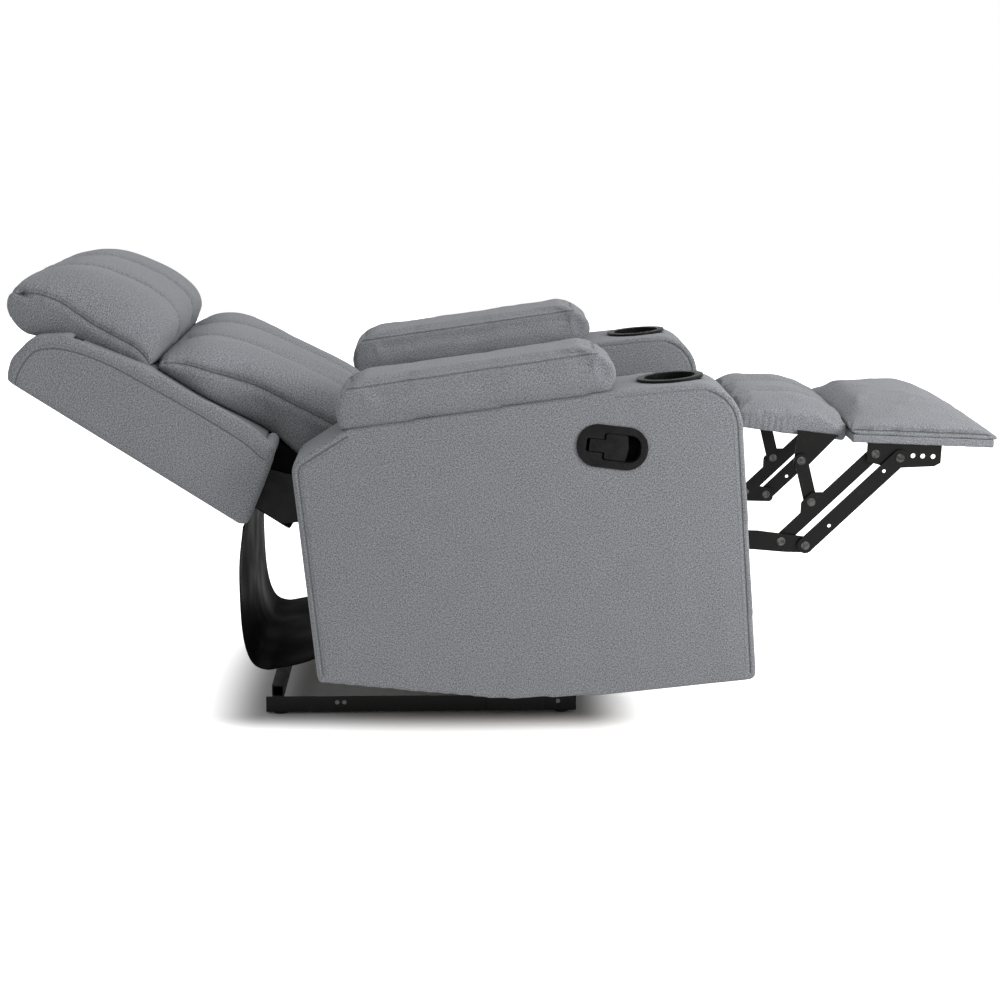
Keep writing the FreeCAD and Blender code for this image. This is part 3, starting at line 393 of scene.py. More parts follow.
class Shader:
    """A material's node tree, written as expressions."""

    def __init__(self, name):
        self.material = bpy.data.materials.new(name)
        self.material.use_nodes = True
        self.tree = self.material.node_tree
        self.tree.nodes.clear()
        self.surface = self.node("ShaderNodeBsdfPrincipled")
        out = self.node("ShaderNodeOutputMaterial")
        self.link(self.surface.outputs[0], out.inputs["Surface"])

    def node(self, kind, **settings):
        made = self.tree.nodes.new(kind)
        for key, value in settings.items():
            setattr(made, key, value)
        return made

    def link(self, source, socket):
        if isinstance(source, bpy.types.NodeSocket):
            self.tree.links.new(source, socket)
        else:
            socket.default_value = source

    def maths(self, operation, *values, clamp=False):
        made = self.node("ShaderNodeMath", operation=operation, use_clamp=clamp)
        for value, socket in zip(values, made.inputs):
            self.link(value, socket)
        return made.outputs[0]

    def ranged(self, value, low, high, to_low=0.0, to_high=1.0, smooth=True):
        made = self.node(
            "ShaderNodeMapRange",
            interpolation_type="SMOOTHSTEP" if smooth else "LINEAR",
        )
        for item, key in zip(
            (value, low, high, to_low, to_high),
            ("Value", "From Min", "From Max", "To Min", "To Max"),
        ):
            self.link(item, made.inputs[key])
        return made.outputs[0]

    def mixed(self, share, first, second):
        made = self.node("ShaderNodeMix", data_type="RGBA")
        self.link(share, made.inputs[0])
        for value, socket in ((first, made.inputs[6]), (second, made.inputs[7])):
            self.link(value, socket)
        return made.outputs[2]

    def stretched(self, vector, scale):
        made = self.node("ShaderNodeVectorMath", operation="MULTIPLY")
        self.link(vector, made.inputs[0])
        made.inputs[1].default_value = scale
        return made.outputs[0]

    def noise(self, vector, scale, detail=2.0, rough=0.5, distortion=0.0):
        made = self.node("ShaderNodeTexNoise")
        self.link(vector, made.inputs["Vector"])
        made.inputs["Scale"].default_value = scale
        made.inputs["Detail"].default_value = detail
        made.inputs["Roughness"].default_value = rough
        made.inputs["Distortion"].default_value = distortion
        return made.outputs[0]

    def bump(self, height, distance, strength=1.0, normal=None):
        made = self.node("ShaderNodeBump")
        self.link(height, made.inputs["Height"])
        made.inputs["Distance"].default_value = distance
        made.inputs["Strength"].default_value = strength
        if normal is not None:
            self.link(normal, made.inputs["Normal"])
        return made.outputs[0]

    def set(self, **values):
        """Sets the surface's sockets by name, with _ for a space."""
        for key, value in values.items():
            self.link(value, self.surface.inputs[key.replace("_", " ")])


def grey(value, tint=(1.0, 1.0, 1.0)):
    return (*(value * t for t in tint), 1.0)


YARN = 0.0016  # one yarn's width in the weave
STITCH = 0.007  # one stitch and its gap
SECOND_ROW = 0.006  # a row of stitches beside it


def seam_parts(shader):
    """Crease and stitches of the seams kept on the mesh: two heights from 0 to 1."""
    seam = shader.node("ShaderNodeAttribute", attribute_name="seam")
    split = shader.node("ShaderNodeSeparateXYZ")
    shader.link(seam.outputs["Vector"], split.inputs[0])
    distance, run, shown = split.outputs
    away = shader.maths("ABSOLUTE", distance)
    crease = shader.maths("MULTIPLY", shader.ranged(away, 0.0018, 0.0003), shown)
    row = shader.maths("ABSOLUTE", shader.maths("SUBTRACT", distance, SECOND_ROW))
    dash = shader.maths("PINGPONG", run, STITCH / 2)
    thread = shader.maths(
        "MULTIPLY",
        shader.ranged(row, 0.0009, 0.0004),
        shader.ranged(dash, 0.0006, 0.0011),
    )
    return crease, shader.maths("MULTIPLY", thread, shown)


def heather_cloth():
    """Woven heather grey: light and dark yarns that change tone along their length, with painted shade in the
    seams' creases.
    """
    s = Shader("heather_grey_cloth")
    weave = s.node("ShaderNodeUVMap", uv_map="weave").outputs[0]
    warp = s.noise(s.stretched(weave, (760, 360, 1)), 1.0, 1.0, 0.5)
    weft = s.noise(s.stretched(weave, (360, 760, 1)), 1.0, 1.0, 0.5)
    fleck = s.noise(weave, 620, 1.0, 0.5)
    broad = s.noise(weave, 22, 3.0, 0.6)
    tone = s.maths("ADD", s.maths("ADD", warp, weft), s.maths("MULTIPLY", fleck, 0.8))
    tone = s.maths("ADD", tone, s.maths("MULTIPLY", broad, 0.08))
    share = s.ranged(tone, 1.17, 1.71, smooth=False)
    colour = s.mixed(
        share, grey(0.080, (0.94, 0.99, 1.07)), grey(0.226, (0.96, 0.99, 1.05))
    )
    crease, thread = seam_parts(s)
    # Painted shade: the colour darkens toward near black in each seam's crease.
    colour = s.mixed(s.maths("MULTIPLY", crease, 0.55), colour, grey(0.05))
    colour = s.mixed(s.maths("MULTIPLY", thread, 0.5), colour, grey(0.13))
    split = s.node("ShaderNodeSeparateXYZ")
    s.link(weave, split.inputs[0])
    turn = math.pi / YARN
    over = s.maths(
        "MULTIPLY",
        s.maths("SINE", s.maths("MULTIPLY", split.outputs[0], turn)),
        s.maths("SINE", s.maths("MULTIPLY", split.outputs[1], turn)),
    )
    yarns = s.maths("ADD", over, s.maths("MULTIPLY", tone, 0.5))
    normal = s.bump(yarns, 0.0003, 0.35)
    sewn = s.maths("SUBTRACT", s.maths("MULTIPLY", thread, 0.35), crease)
    s.set(
        Base_Color=colour,
        Roughness=0.92,
        Specular_IOR_Level=0.15,
        Sheen_Weight=0.08,
        Sheen_Roughness=0.5,
        Normal=s.bump(sewn, 0.0015, 0.9, normal),
    )
    return s.material


def black_lining():
    """Smooth black lining cloth with a fine thread and soft highlights."""
    s = Shader("black_lining_cloth")
    weave = s.node("ShaderNodeUVMap", uv_map="weave").outputs[0]
    fine = s.noise(s.stretched(weave, (900, 260, 1)), 1.0, 2.0)
    cross = s.noise(s.stretched(weave, (260, 900, 1)), 1.0, 2.0)
    broad = s.noise(weave, 9, 2.0, 0.5)
    tone = s.maths("ADD", fine, cross)
    crease, thread = seam_parts(s)
    colour = s.mixed(s.ranged(tone, 0.7, 1.3), grey(0.003), grey(0.006))
    colour = s.mixed(s.maths("MULTIPLY", thread, 0.5), colour, grey(0.015))
    normal = s.bump(tone, 0.0002, 0.4)
    normal = s.bump(broad, 0.006, 0.25, normal)
    sewn = s.maths("SUBTRACT", s.maths("MULTIPLY", thread, 0.4), crease)
    s.set(
        Base_Color=colour,
        Roughness=s.ranged(broad, 0.3, 0.7, 0.42, 0.60),
        Specular_IOR_Level=0.003,
        Normal=s.bump(sewn, 0.001, 0.8, normal),
    )
    return s.material


def moulded_plastic():
    """Black plastic with a fine moulded grain."""
    s = Shader("black_moulded_plastic")
    place = s.node("ShaderNodeTexCoord").outputs["Object"]
    grain = s.noise(place, 1500, 1.0)
    patch = s.noise(place, 60, 3.0)
    s.set(
        Base_Color=s.mixed(s.ranged(patch, 0.35, 0.65), grey(0.004), grey(0.008)),
        Roughness=s.ranged(patch, 0.35, 0.7, 0.34, 0.48),
        Specular_IOR_Level=0.12,
        Normal=s.bump(grain, 0.0002, 0.35, s.node("ShaderNodeBevel").outputs[0]),
    )
    return s.material


def coated_steel():
    """Black powder coat on pressed steel, with a slight orange peel and rubbed spots."""
    s = Shader("black_coated_steel")
    place = s.node("ShaderNodeTexCoord").outputs["Object"]
    peel = s.noise(place, 700, 2.0)
    worn = s.noise(place, 45, 5.0, 0.65)
    scratch = s.noise(s.stretched(place, (120, 900, 120)), 1.0, 3.0, 0.6, 0.3)
    rubbed = s.maths(
        "MULTIPLY", s.ranged(worn, 0.60, 0.74), s.ranged(scratch, 0.52, 0.66)
    )
    edge = s.node("ShaderNodeBevel")
    edge.inputs["Radius"].default_value = 0.0008
    s.set(
        Base_Color=s.mixed(
            rubbed, grey(0.004, (1.05, 1.0, 0.96)), grey(0.035, (1.1, 1.0, 0.9))
        ),
        Roughness=s.ranged(worn, 0.3, 0.75, 0.30, 0.48),
        Specular_IOR_Level=0.11,
        Normal=s.bump(peel, 0.0003, 0.25, edge.outputs[0]),
    )
    return s.material


def plated_steel():
    """Dull zinc-plated steel, darker in patches."""
    s = Shader("plated_steel")
    place = s.node("ShaderNodeTexCoord").outputs["Object"]
    brushed = s.noise(s.stretched(place, (150, 900, 900)), 1.0, 3.0)
    patch = s.noise(place, 180, 3.0)
    s.set(
        Base_Color=s.mixed(
            s.ranged(patch, 0.35, 0.65),
            grey(0.030, (1.05, 1.0, 0.93)),
            grey(0.075, (1.02, 1.0, 0.97)),
        ),
        Metallic=1.0,
        Roughness=s.ranged(brushed, 0.3, 0.7, 0.30, 0.45),
        Normal=s.bump(brushed, 0.0001, 0.3),
    )
    return s.material


def bare_plywood():
    """Plywood: grain along the board and its layers at the edges."""
    s = Shader("bare_plywood")
    place = s.node("ShaderNodeTexCoord").outputs["Object"]
    grain = s.noise(s.stretched(place, (60, 8, 60)), 1.0, 5.0, 0.6, 0.6)
    pores = s.noise(s.stretched(place, (900, 60, 900)), 1.0, 2.0)
    layers = s.node("ShaderNodeTexWave", bands_direction="X")
    s.link(place, layers.inputs["Vector"])
    layers.inputs["Scale"].default_value = 95
    layers.inputs["Distortion"].default_value = 0.6
    share = s.maths(
        "ADD",
        s.maths("MULTIPLY", s.ranged(grain, 0.3, 0.7), 0.65),
        s.maths("MULTIPLY", layers.outputs[1], 0.35),
    )
    s.set(
        Base_Color=s.mixed(
            share, grey(0.42, (1.05, 0.74, 0.45)), grey(0.60, (1.05, 0.82, 0.56))
        ),
        Roughness=s.ranged(pores, 0.3, 0.7, 0.55, 0.72),
        Normal=s.bump(pores, 0.0003, 0.4),
    )
    return s.material


CLOTH = heather_cloth()
LINING = black_lining()
METALS = {
    "black_steel": coated_steel(),
    "bright_steel": plated_steel(),
    "black_plastic": moulded_plastic(),
    "plywood": bare_plywood(),
}

# --------------------------------------------------------------------------- arms

EDGE_SEAM = 0.010  # from the panel's edge to the seam beside it
LATCH = (0.289, 0.465)  # middle of the release handle's bezel
PAD_NOSE = 0.30  # the pad's front end
DECK_RISE = 15.5 / 418  # the arm's top slopes up to the front
DECK_REAR = (-0.118, 0.536)  # rear end of the arm's top


def arm_cover(side):
    """The arm's padded outer panel and boxing, with a seam beside the panel's edge."""
    piece = cover(f"arm_cover_{side}", f"arm_shell_{side}", SEAT, 0.005, 8)
    subdivide(piece)
    ring = outline(piece)
    x, f, z = coordinates(piece)
    nx = normals(piece)[0]
    inside, run, heading = from_line(ring, f, z)
    flat_side = np.abs(nx) > 0.6
    below = heading[:, 0] > 0.8
    low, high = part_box(f"arm_shell_{side}")
    outer = np.abs(x - (low.x + high.x) / 2) > 0.05
    from_latch = np.hypot(f - LATCH[0], z - LATCH[1])
    clear = from_latch > 0.075
    puff = step_up(inside, 0.004, 0.05) * flat_side * outer
    calm = 1 - 0.8 * np.exp(-((from_latch / 0.08) ** 4))
    press_in(piece, -0.0015 * puff * calm)
    top = step_up(-heading[:, 0], 0.93, 0.97)
    faint = 1 - top * np.where(f < PAD_NOSE, 1.0, 0.6)
    seams = Seams(piece).add(
        inside - EDGE_SEAM, run, flat_side & outer & ~below & clear, faint
    )
    seams.sink(0.0012, 0.003)
    unevenness(piece, 0.0005, 0.19, 1.0)
    finish_cloth(
        piece, CLOTH, "seat", [f"arm_shell_{side}"], seams
    )


def above_deck(f, z):
    """Height over the arm's sloping top."""
    return (z - DECK_REAR[1] - (f - DECK_REAR[0]) * DECK_RISE) / math.hypot(
        1, DECK_RISE
    )


PAD_SEAM = 0.061  # height of the seam round the pad's top


def arm_pad(side):
    """The boxed pad on the arm, with a rounded nose and a seam round its top."""
    piece = cover(f"arm_pad_cover_{side}", f"arm_pad_{side}", SEAT, 0.005, 14)
    x, f, z = coordinates(piece)
    height = above_deck(f, z)
    nose = f.max()
    corner = step_up(f, nose - 0.032, nose) * step_up(height, 0.030, 0.075)
    z = z - 0.002 * step_up(height, 0.030, 0.060) - 0.003 * step_up(-height, -0.012, 0)
    move_to(piece, x, f - 0.003 * corner, z - 0.007 * corner)
    blow_up(piece, height < 0.006, 3.0, 0.005)
    subdivide(piece)
    x, f, z = coordinates(piece)
    nx, nf, nz = normals(piece)
    height = above_deck(f, z)
    walls = np.abs(nz) < 0.97
    run = np.where(np.abs(nx) > 0.7, f, x + 0.5 * f)
    seams = Seams(piece).add(height - PAD_SEAM, run, walls & (height > 0.02))
    seams.sink(0.0008, 0.003)
    seams.pucker(0.0005, 0.008, 0.03)
    under_nose = ((f - 0.306) / 0.010) ** 2 + ((height - 0.004) / 0.010) ** 2
    fold = np.exp(-under_nose)
    press_in(piece, 0.005 * fold)
    unevenness(piece, 0.0010, 0.12, 3.0)
    finish_cloth(
        piece, CLOTH, "seat", [f"arm_pad_{side}"], seams
    )


for side in ("right", "left"):
    arm_cover(side)
    arm_pad(side)

# --------------------------------------------------------------------------- seat


def seat_cover():
    """The seat cushion: one crowned pad with a seam round its top."""
    piece = cover("seat_cushion_cover", "seat_cushion", SEAT, 0.006, 8)
    x, f, z = coordinates(piece)
    bottom = z < z.min() + 0.25 * (z.max() - z.min())
    blow_up(piece, bottom, 4.0, 0.010)
    subdivide(piece)
    x, f, z = coordinates(piece)
    nx, nf, _ = normals(piece)
    ring = outline(piece)
    inside, run, heading = from_line(ring, f, z)
    ends = (np.abs(nx) > 0.6) & (heading[:, 0] < 0.8)
    seams = Seams(piece).add(inside - 0.018, run, ends)
    front = (nf > 0.3) & (np.abs(nx) < 0.6)
    seams.add(z - (z.max() - 0.055), x, front)
    seams.sink(0.003, 0.007)
    seams.pucker(0.001, 0.014, 0.03)
    unevenness(piece, 0.0015, 0.16, 5.0)
    finish_cloth(
        piece, CLOTH, "seat", ["seat_cushion"], seams
    )


seat_cover()

# --------------------------------------------------------------------------- back

WING_SEAM = [
    (-0.098, 0.536),
    (-0.074, 0.542),
    (-0.035, 0.536),
    (-0.009, 0.500),
    (0.007, 0.435),
    (0.013, 0.352),
    (0.017, 0.261),
    (0.017, 0.191),
    (0.012, 0.150),
]
WING_FOOT = 0.150  # height of the wing's lower front corner
LUMBAR_SEAM = [
    (0.038, 0.373),
    (0.047, 0.364),
    (0.062, 0.338),
    (0.073, 0.300),
    (0.085, 0.232),
    (0.092, 0.159),
    (0.098, 0.100),
    (0.099, 0.070),
    (0.094, 0.056),
]
LUMBAR_FRONT = [
    (0.038, 0.373),
    (0.058, 0.369),
    (0.080, 0.357),
    (0.103, 0.334),
    (0.121, 0.299),
    (0.133, 0.251),
    (0.141, 0.195),
    (0.149, 0.130),
    (0.151, 0.080),
    (0.143, 0.062),
    (0.120, 0.057),
    (0.094, 0.056),
]
LUMBAR_REAR = [
    (0.038, 0.373),
    (0.034, 0.364),
    (0.033, 0.340),
    (0.033, 0.230),
    (0.032, 0.150),
    (0.025, 0.118),
    (0.021, 0.086),
    (0.030, 0.063),
    (0.060, 0.055),
    (0.094, 0.056),
]
LUMBAR_TOP = 0.373  # height of its upper end
LUMBAR_LONG = 0.317  # from its upper end to its lower end
PILLOW_SEAM = [
    (0.016, 0.624),
    (0.022, 0.609),
    (0.036, 0.582),
    (0.043, 0.548),
    (0.042, 0.515),
    (0.041, 0.482),
    (0.044, 0.440),
    (0.045, 0.410),
    (0.039, 0.386),
    (0.030, 0.373),
]
PILLOW_FRONT = [
    (0.016, 0.624),
    (0.038, 0.618),
    (0.074, 0.589),
    (0.099, 0.550),
    (0.113, 0.500),
    (0.119, 0.446),
    (0.112, 0.402),
    (0.093, 0.377),
    (0.062, 0.370),
    (0.030, 0.373),
]
PILLOW_REAR = [
    (0.016, 0.624),
    (-0.010, 0.617),
    (-0.028, 0.592),
    (-0.031, 0.566),
    (-0.021, 0.543),
    (-0.008, 0.510),
    (0.006, 0.467),
    (0.018, 0.413),
    (0.024, 0.383),
    (0.030, 0.373),
]
CHANNEL = 0.100  # from the middle to the two sewn channels
DECK_FACE = 0.032  # how far forward the deck behind the cushions lies


def back_cover():
    """The back's outside: one padded shell with a seam beside its front edge."""
    piece = cover("back_cover", "back_shell", BACK, 0.0055, 8)
    subdivide(piece)
    x, f, z = coordinates(piece)
    nx = normals(piece)[0]
    away, run, _ = from_line(rounded(WING_SEAM), f, z)
    half = np.abs(x).max()
    sides = (np.abs(nx) > 0.6) & (np.abs(x) > half - 0.02)
    seams = Seams(piece).add(away, run, sides)
    seams.sink(0.0010, 0.003)
    near = ((f - 0.02) / 0.03) ** 2 + ((z - WING_FOOT) / 0.03) ** 2
    press_in(piece, 0.002 * np.exp(-near) * sides * ripple(z * 260, 1.0))
    x, f, z = coordinates(piece)
    near = ((f - 0.034) / 0.02) ** 2 + ((z - WING_FOOT) / 0.02) ** 2
    press_in(piece, -0.006 * np.exp(-near))
    unevenness(piece, 0.0010, 0.21, 2.0)
    finish_cloth(
        piece, CLOTH, "back", ["back_shell"], seams
    )


def deck_cover():
    piece = cover("back_deck_cover", "back_deck", BACK, 0.006, 4)
    unevenness(piece, 0.0008, 0.15, 4.0)
    finish_cloth(
        piece, CLOTH, "back", ["back_deck"]
    )


def column_valleys(x, half, depth):
    """How far the cloth dips between three columns, most at the two channels."""
    place = np.abs(x)
    inner = place / CHANNEL
    outer = (place - (CHANNEL + half) / 2) / ((half - CHANNEL) / 2)
    outer = np.where(outer < 0, -outer, 0)
    share = np.where(place < CHANNEL, inner, outer)
    return depth * (0.5 * share**3 + 0.5 * np.exp(-(((place - CHANNEL) / 0.009) ** 2)))


def lumbar_half(t):
    """Half width of the lower back cushion, which narrows between the arms."""
    return 0.287 - 0.063 * step_up(t, 0.20, 0.57)


def lumbar_cover():
    """The lower back cushion: three columns between the wings and the arms."""
    piece = formed(
        "lumbar_cover",
        BACK,
        LUMBAR_SEAM,
        LUMBAR_FRONT,
        LUMBAR_REAR,
        lumbar_half,
        (0.085, 0.018),
    )
    x, f, z = coordinates(piece)
    half = lumbar_half((LUMBAR_TOP - z) / LUMBAR_LONG)
    front = step_up(f, DECK_FACE + 0.012, DECK_FACE + 0.040)
    press_in(piece, (column_valleys(x, half, 0.013) + 0.003) * front)
    soften(piece, 1)
    x, f, z = coordinates(piece)
    away, run, _ = from_line(rounded(LUMBAR_SEAM), f, z)
    end = np.abs(x) > half - 0.02
    held = (
        (f < DECK_FACE + 0.006)
        | ((f > DECK_FACE + 0.03) & (np.abs(np.abs(x) - CHANNEL) < 0.004))
        | (end & (np.abs(away) < 0.004))
    )
    blow_up(piece, held, 4.0, 0.008)
    subdivide(piece)
    x, f, z = coordinates(piece)
    nx, nf, nz = normals(piece)
    half = lumbar_half((LUMBAR_TOP - z) / LUMBAR_LONG)
    front = (nf + 0.5 * nz > 0.15) & (f > DECK_FACE + 0.02)
    away, run, _ = from_line(rounded(LUMBAR_SEAM), f, z)
    seams = Seams(piece)
    seams.add(np.abs(x) - CHANNEL, z + f, front)
    seams.add(away, run, np.abs(x) > half - 0.04)
    seams.sink(0.0035, 0.006)
    seams.pucker(0.0014, 0.014, 0.034)
    unevenness(piece, 0.0014, 0.11, 6.0)
    finish_cloth(
        piece, CLOTH, "back", ["lumbar_cushion"], seams
    )


PILLOW_HALF = 0.290


def pillow_cover():
    """The head pillow: three columns, ends gathered at a seam near the rear."""
    piece = formed(
        "head_pillow_cover",
        BACK,
        PILLOW_SEAM,
        PILLOW_FRONT,
        PILLOW_REAR,
        lambda t: np.full(len(t), PILLOW_HALF),
        (0.105, 0.016),
    )
    x, f, z = coordinates(piece)
    half = PILLOW_HALF
    front = step_up(f, 0.040, 0.070)
    press_in(piece, (column_valleys(x, half, 0.010) + 0.003) * front)
    soften(piece, 1)
    x, f, z = coordinates(piece)
    away, run, _ = from_line(rounded(PILLOW_SEAM), f, z)
    rests = (away < -0.006) & (z < 0.56) & (np.abs(x) < half - 0.02)
    held = (
        rests
        | ((f > 0.05) & (np.abs(np.abs(x) - CHANNEL) < 0.004))
        | ((np.abs(x) > half - 0.02) & (np.abs(away) < 0.004))
    )
    blow_up(piece, held, 4.0, 0.008)
    subdivide(piece)
    x, f, z = coordinates(piece)
    nx, nf, nz = normals(piece)
    away, run, _ = from_line(rounded(PILLOW_SEAM), f, z)
    seams = Seams(piece)
    seams.add(np.abs(x) - CHANNEL, z - f, (nf > 0.0) & (f > 0.04))
    seams.add(away, run, np.abs(x) > half - 0.04)
    seams.sink(0.0035, 0.006)
    seams.pucker(0.0018, 0.018, 0.040, seed=1.0)
    pinch = np.exp(
        -(((f - 0.024) / 0.006) ** 2)
        - ((z - 0.610) / 0.016) ** 2
        - ((half - np.abs(x)) / 0.03) ** 2
    )
    press_in(piece, 0.012 * pinch)
    unevenness(piece, 0.0014, 0.12, 8.0)
    finish_cloth(
        piece, CLOTH, "back", ["head_pillow"], seams
    )


def skirt_cover():
    """The black cloth round the back's lower end."""
    piece = cover("back_skirt_cloth", "back_skirt", BACK, 0.005, 6)
    x, f, z = coordinates(piece)
    press_in(piece, 0.0014 * ripple(x * 70, 2.0) + 0.0008 * ripple(f * 150, 1.0))
    finish_cloth(piece, LINING, "back", ["back_skirt"])


back_cover()
deck_cover()
lumbar_cover()
pillow_cover()
skirt_cover()

# --------------------------------------------------------------------------- rear cloth

REAR_CLOTH = [
    (-0.312, 0.372),
    (-0.326, 0.310),
    (-0.333, 0.245),
    (-0.335, 0.195),
    (-0.331, 0.160),
    (-0.321, 0.139),
    (-0.303, 0.130),
    (-0.285, 0.130),
    (-0.245, 0.134),
    (-0.212, 0.142),
]


def rear_sheet():
    """The lining that hangs behind the seat and turns forward under it."""
    low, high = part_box("rear_cloth")
    line = rounded(REAR_CLOTH, 0.005)
    steps = np.hypot(*np.diff(line, axis=0).T)
    length = float(steps.sum())
    rows = np.concatenate(([0], np.cumsum(steps)))
    across = np.linspace(low.x, high.x, 99)
    width = high.x - low.x
    run, x = np.meshgrid(rows, across, indexing="ij")
    heading = np.gradient(line, axis=0)
    heading /= np.linalg.norm(heading, axis=1)[:, None]
    middle = np.sin(np.pi * run / length) * (1 - (2 * x / width) ** 2)
    wave = 0.0008 * ripple(x * 21 + 5 * run) * np.sin(np.pi * run / length)
    off = wave + 0.003 * middle
    f = line[:, 0][:, None] - heading[:, 1][:, None] * off
    z = line[:, 1][:, None] + heading[:, 0][:, None] * off
    points = np.column_stack((x.ravel(), -f.ravel(), z.ravel()))
    faces = quads(len(rows), len(across))
    mesh = bpy.data.meshes.new("rear_cloth_sheet")
    mesh.from_pydata(points.tolist(), [], faces.tolist())
    piece = bpy.data.objects.new("rear_cloth_sheet", mesh)
    bpy.context.scene.collection.objects.link(piece)
    piece.matrix_world = SEAT
    seams = Seams(piece)
    hem = np.minimum(width / 2 - np.abs(x), np.minimum(run, length - run)).ravel()
    seams.add(hem - 0.012, (run + x).ravel(), hem < 0.03)
    finish_cloth(piece, LINING, "seat", ["rear_cloth"], seams)
    thick = piece.modifiers.new("Thickness", "SOLIDIFY")
    thick.thickness = 0.0012


rear_sheet()

# --------------------------------------------------------------------------- footrest

BOARD = 0.012  # thickness of the main footrest board
MIDDLE_BOARD = 0.010
MIDDLE_CHANNEL = 0.065  # from the middle to the two sewn channels


def board_cover(name, node, place, body):
    """Cloth drawn tight round a footrest board."""
    piece = cover(name, node, place, 0.003, 4)
    x, f, z = coordinates(piece)
    press_in(piece, -0.0006 + 0.0004 * ripple(f * 160 + x * 90))
    finish_cloth(piece, CLOTH, body, [node])


def footrest_cover():
    """The outer footrest cushion, one smooth pillow that thins to its edges."""
    piece = cover("footrest_cover", "footrest_cushion", FOOTREST, 0.004, 4)
    x, f, z = coordinates(piece)
    half, rear, front = np.abs(x).max(), f.min(), f.max()
    side = step_up(np.abs(x), half - 0.14, half)
    ends = np.maximum(
        0.50 * step_up(-f, -rear - 0.032, -rear), 0.62 * step_up(f, front - 0.12, front)
    )
    share = 1.23 * (1 - np.maximum(0.60 * side, ends))
    back = step_up(-f, -rear - 0.04, -rear) * step_up(z, BOARD, BOARD + 0.02)
    z = np.where(z > BOARD, BOARD + (z - BOARD) * share, z)
    move_to(piece, x, f - 0.006 * back, z)
    soften(piece, 3)
    x, f, z = coordinates(piece)
    blow_up(piece, z < BOARD + 0.006, 4.0, 0.008)
    subdivide(piece)
    x, f, z = coordinates(piece)
    nx, nf, nz = normals(piece)
    run = np.where(np.abs(nx) > 0.6, f, x)
    seams = Seams(piece).add(z - BOARD - 0.0085, run, nz < 0.8)
    seams.sink(0.0022, 0.004)
    seams.pucker(0.0012, 0.012, 0.05, nf > -0.5)
    unevenness(piece, 0.0014, 0.13, 3.0)
    finish_cloth(
        piece, CLOTH, "footrest", ["footrest_cushion"], seams
    )


def middle_cover():
    """The inner footrest cushion: three columns, gathered along its edges."""
    piece = cover("middle_cover", "middle_cushion", MIDDLE, 0.004, 4)
    x, f, z = coordinates(piece)
    half = np.abs(x).max()
    side = step_up(np.abs(x), half - 0.07, half)
    valley = np.exp(-(((np.abs(x) - MIDDLE_CHANNEL) / 0.010) ** 2))
    share = 1 - 0.55 * side
    high = z > MIDDLE_BOARD
    z = np.where(
        high, MIDDLE_BOARD + (z - MIDDLE_BOARD) * (share - 0.22 * valley), z
    )
    wrap = step_up(np.abs(x), half - 0.012, half - 0.003)
    wrap *= step_up(-z, -MIDDLE_BOARD - 0.014, -MIDDLE_BOARD - 0.002)
    front = f.max()
    f = f + 0.008 * step_up(f, front - 0.03, front)
    move_to(piece, x + np.sign(x) * 0.003 * wrap, f, z - 0.019 * wrap)
    soften(piece, 2)
    x, f, z = coordinates(piece)
    held = (z < MIDDLE_BOARD + 0.005) | (
        (z > MIDDLE_BOARD + 0.012) & (np.abs(np.abs(x) - MIDDLE_CHANNEL) < 0.003)
    )
    blow_up(piece, held, 4.0, 0.008, 0.01)
    subdivide(piece)
    x, f, z = coordinates(piece)
    nx, nf, nz = normals(piece)
    seams = Seams(piece).add(np.abs(x) - MIDDLE_CHANNEL, f, nz > 0.1)
    seams.sink(0.003, 0.005)
    edge = np.exp(-(((z - 0.004) / 0.014) ** 2)) * step_up(np.abs(nx), 0.2, 0.6)
    pleated = 0.15 + 0.85 * step_up(-f, -0.110, -0.040)
    press_in(piece, 0.0012 * edge * pleated * ripple(f * 600))
    unevenness(piece, 0.0012, 0.10, 7.0)
    finish_cloth(
        piece,
        CLOTH,
        "middle_rest",
        ["middle_cushion"],
        seams,
    )


board_cover("footrest_board_cloth", "footrest_board", FOOTREST, "footrest")
board_cover("middle_board_cloth", "middle_board", MIDDLE, "middle_rest")
footrest_cover()
middle_cover()

# --------------------------------------------------------------------------- hard parts

slots = {
    part["node"]: part["material_slot"] for part in frame["record"]["subparts"]
}
for name, node in nodes.items():
    if slots.get(name) in METALS:
        node.data.materials.clear()
        node.data.materials.append(METALS[slots[name]])

# --------------------------------------------------------------------------- studio

LENS = 78.336
CAMERA = Vector((-3.71475, pivots["seat_tilt"].y + SEAT_PIVOT[0], 1.03924))
CAMERA_YAW = math.radians(1.37)
CAMERA_PITCH = math.radians(10.925)


def add_camera():
    data = bpy.data.cameras.new("camera")
    data.lens = LENS
    data.sensor_width = 36
    camera = bpy.data.objects.new("camera", data)
    bpy.context.scene.collection.objects.link(camera)
    camera.location = CAMERA
    camera.rotation_euler = (
        math.pi / 2 - CAMERA_PITCH,
        0,
        -math.pi / 2 - CAMERA_YAW,
    )
    bpy.context.scene.camera = camera


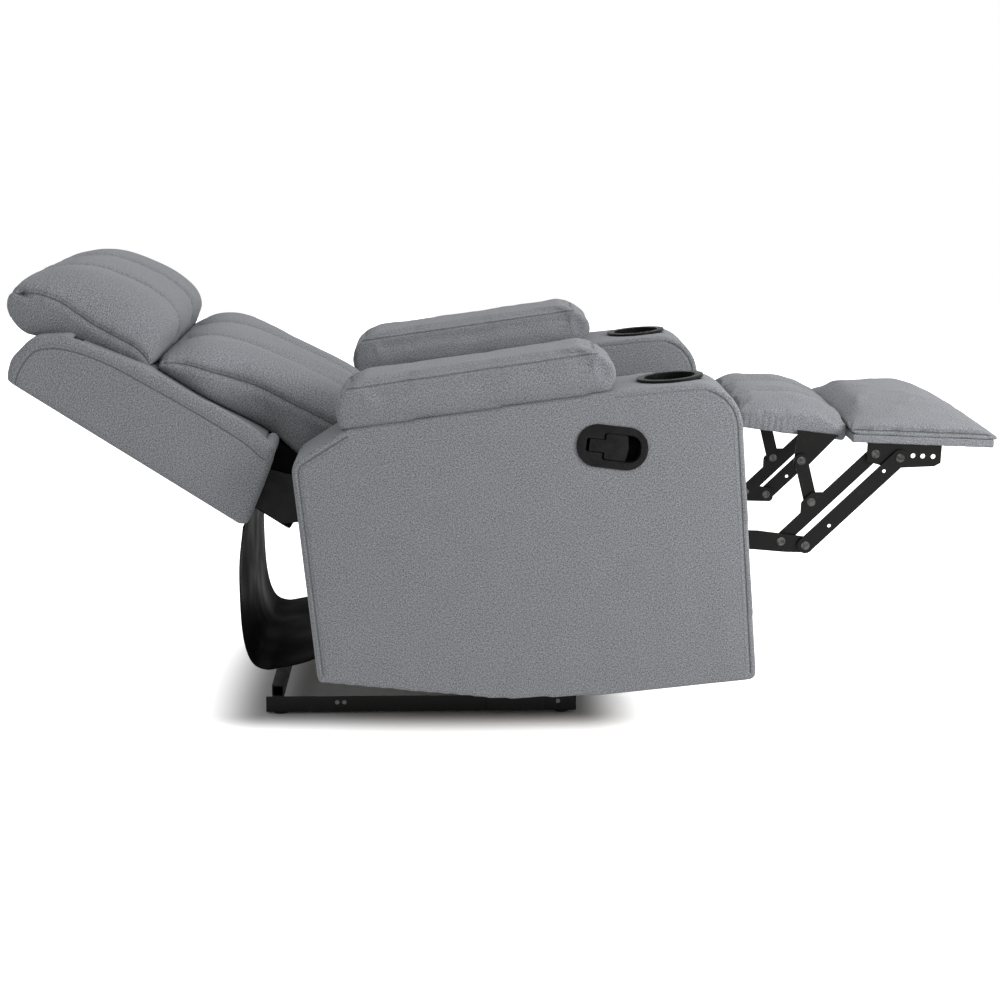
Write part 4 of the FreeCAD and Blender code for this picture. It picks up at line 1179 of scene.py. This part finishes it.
def add_floor():
    half = 6.0
    mesh = bpy.data.meshes.new("floor")
    corners = [(-half, -half, 0), (half, -half, 0), (half, half, 0), (-half, half, 0)]
    mesh.from_pydata(corners, [], [(0, 1, 2, 3)])
    floor = bpy.data.objects.new("floor", mesh)
    bpy.context.scene.collection.objects.link(floor)
    floor.visible_diffuse = False
    s = Shader("pale_floor_painted_shadow")
    place = s.node("ShaderNodeTexCoord").outputs["Object"]
    low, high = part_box("base_rail_right")[0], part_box("base_rail_left")[1]
    split = s.node("ShaderNodeSeparateXYZ")
    s.link(place, split.inputs[0])
    away = []
    for axis in (0, 1):
        middle, reach = (low[axis] + high[axis]) / 2, (high[axis] - low[axis]) / 2
        off = s.maths("ABSOLUTE", s.maths("SUBTRACT", split.outputs[axis], middle))
        off = s.maths("MAXIMUM", s.maths("SUBTRACT", off, reach), 0.0)
        away.append(s.maths("POWER", off, 2.0))
    distance = s.maths("SQRT", s.maths("ADD", *away))
    # Painted contact shadow: the floor's colour darkens and its glow fades to nothing towards the base rails, and
    # further out the floor glows white.
    s.set(
        Base_Color=s.mixed(s.ranged(distance, 0.0, 0.12), grey(0.40), grey(0.92)),
        Roughness=0.9,
        Specular_IOR_Level=0.1,
        Emission_Color=grey(1.0),
        Emission_Strength=s.ranged(distance, 0.0, 0.14, 0.0, 0.75),
    )
    mesh.materials.append(s.material)


def add_light(name, place, aim, size, power):
    data = bpy.data.lights.new(name, "AREA")
    data.shape = "DISK"
    data.size = size
    data.energy = power
    lamp = bpy.data.objects.new(name, data)
    bpy.context.scene.collection.objects.link(lamp)
    lamp.location = place
    lamp.rotation_euler = (
        (Vector(aim) - Vector(place)).to_track_quat("-Z", "Y").to_euler()
    )


def add_world(strength):
    world = bpy.data.worlds.new("studio")
    world.use_nodes = True
    background = world.node_tree.nodes["Background"]
    background.inputs["Color"].default_value = (1, 1, 1, 1)
    background.inputs["Strength"].default_value = strength
    bpy.context.scene.world = world


add_camera()
add_floor()
add_light("key", (-1.9, -2.3, 1.5), (-0.2, -0.6, 0.4), 1.2, 34)
add_light("front", (-1.2, -1.6, 0.9), (-0.4, -0.6, 0.4), 0.6, 18)
add_light("top", (0.1, -1.1, 2.8), (0, -0.2, 0.4), 1.8, 22)
add_world(1.0)
bpy.context.scene.view_settings.view_transform = "Standard"
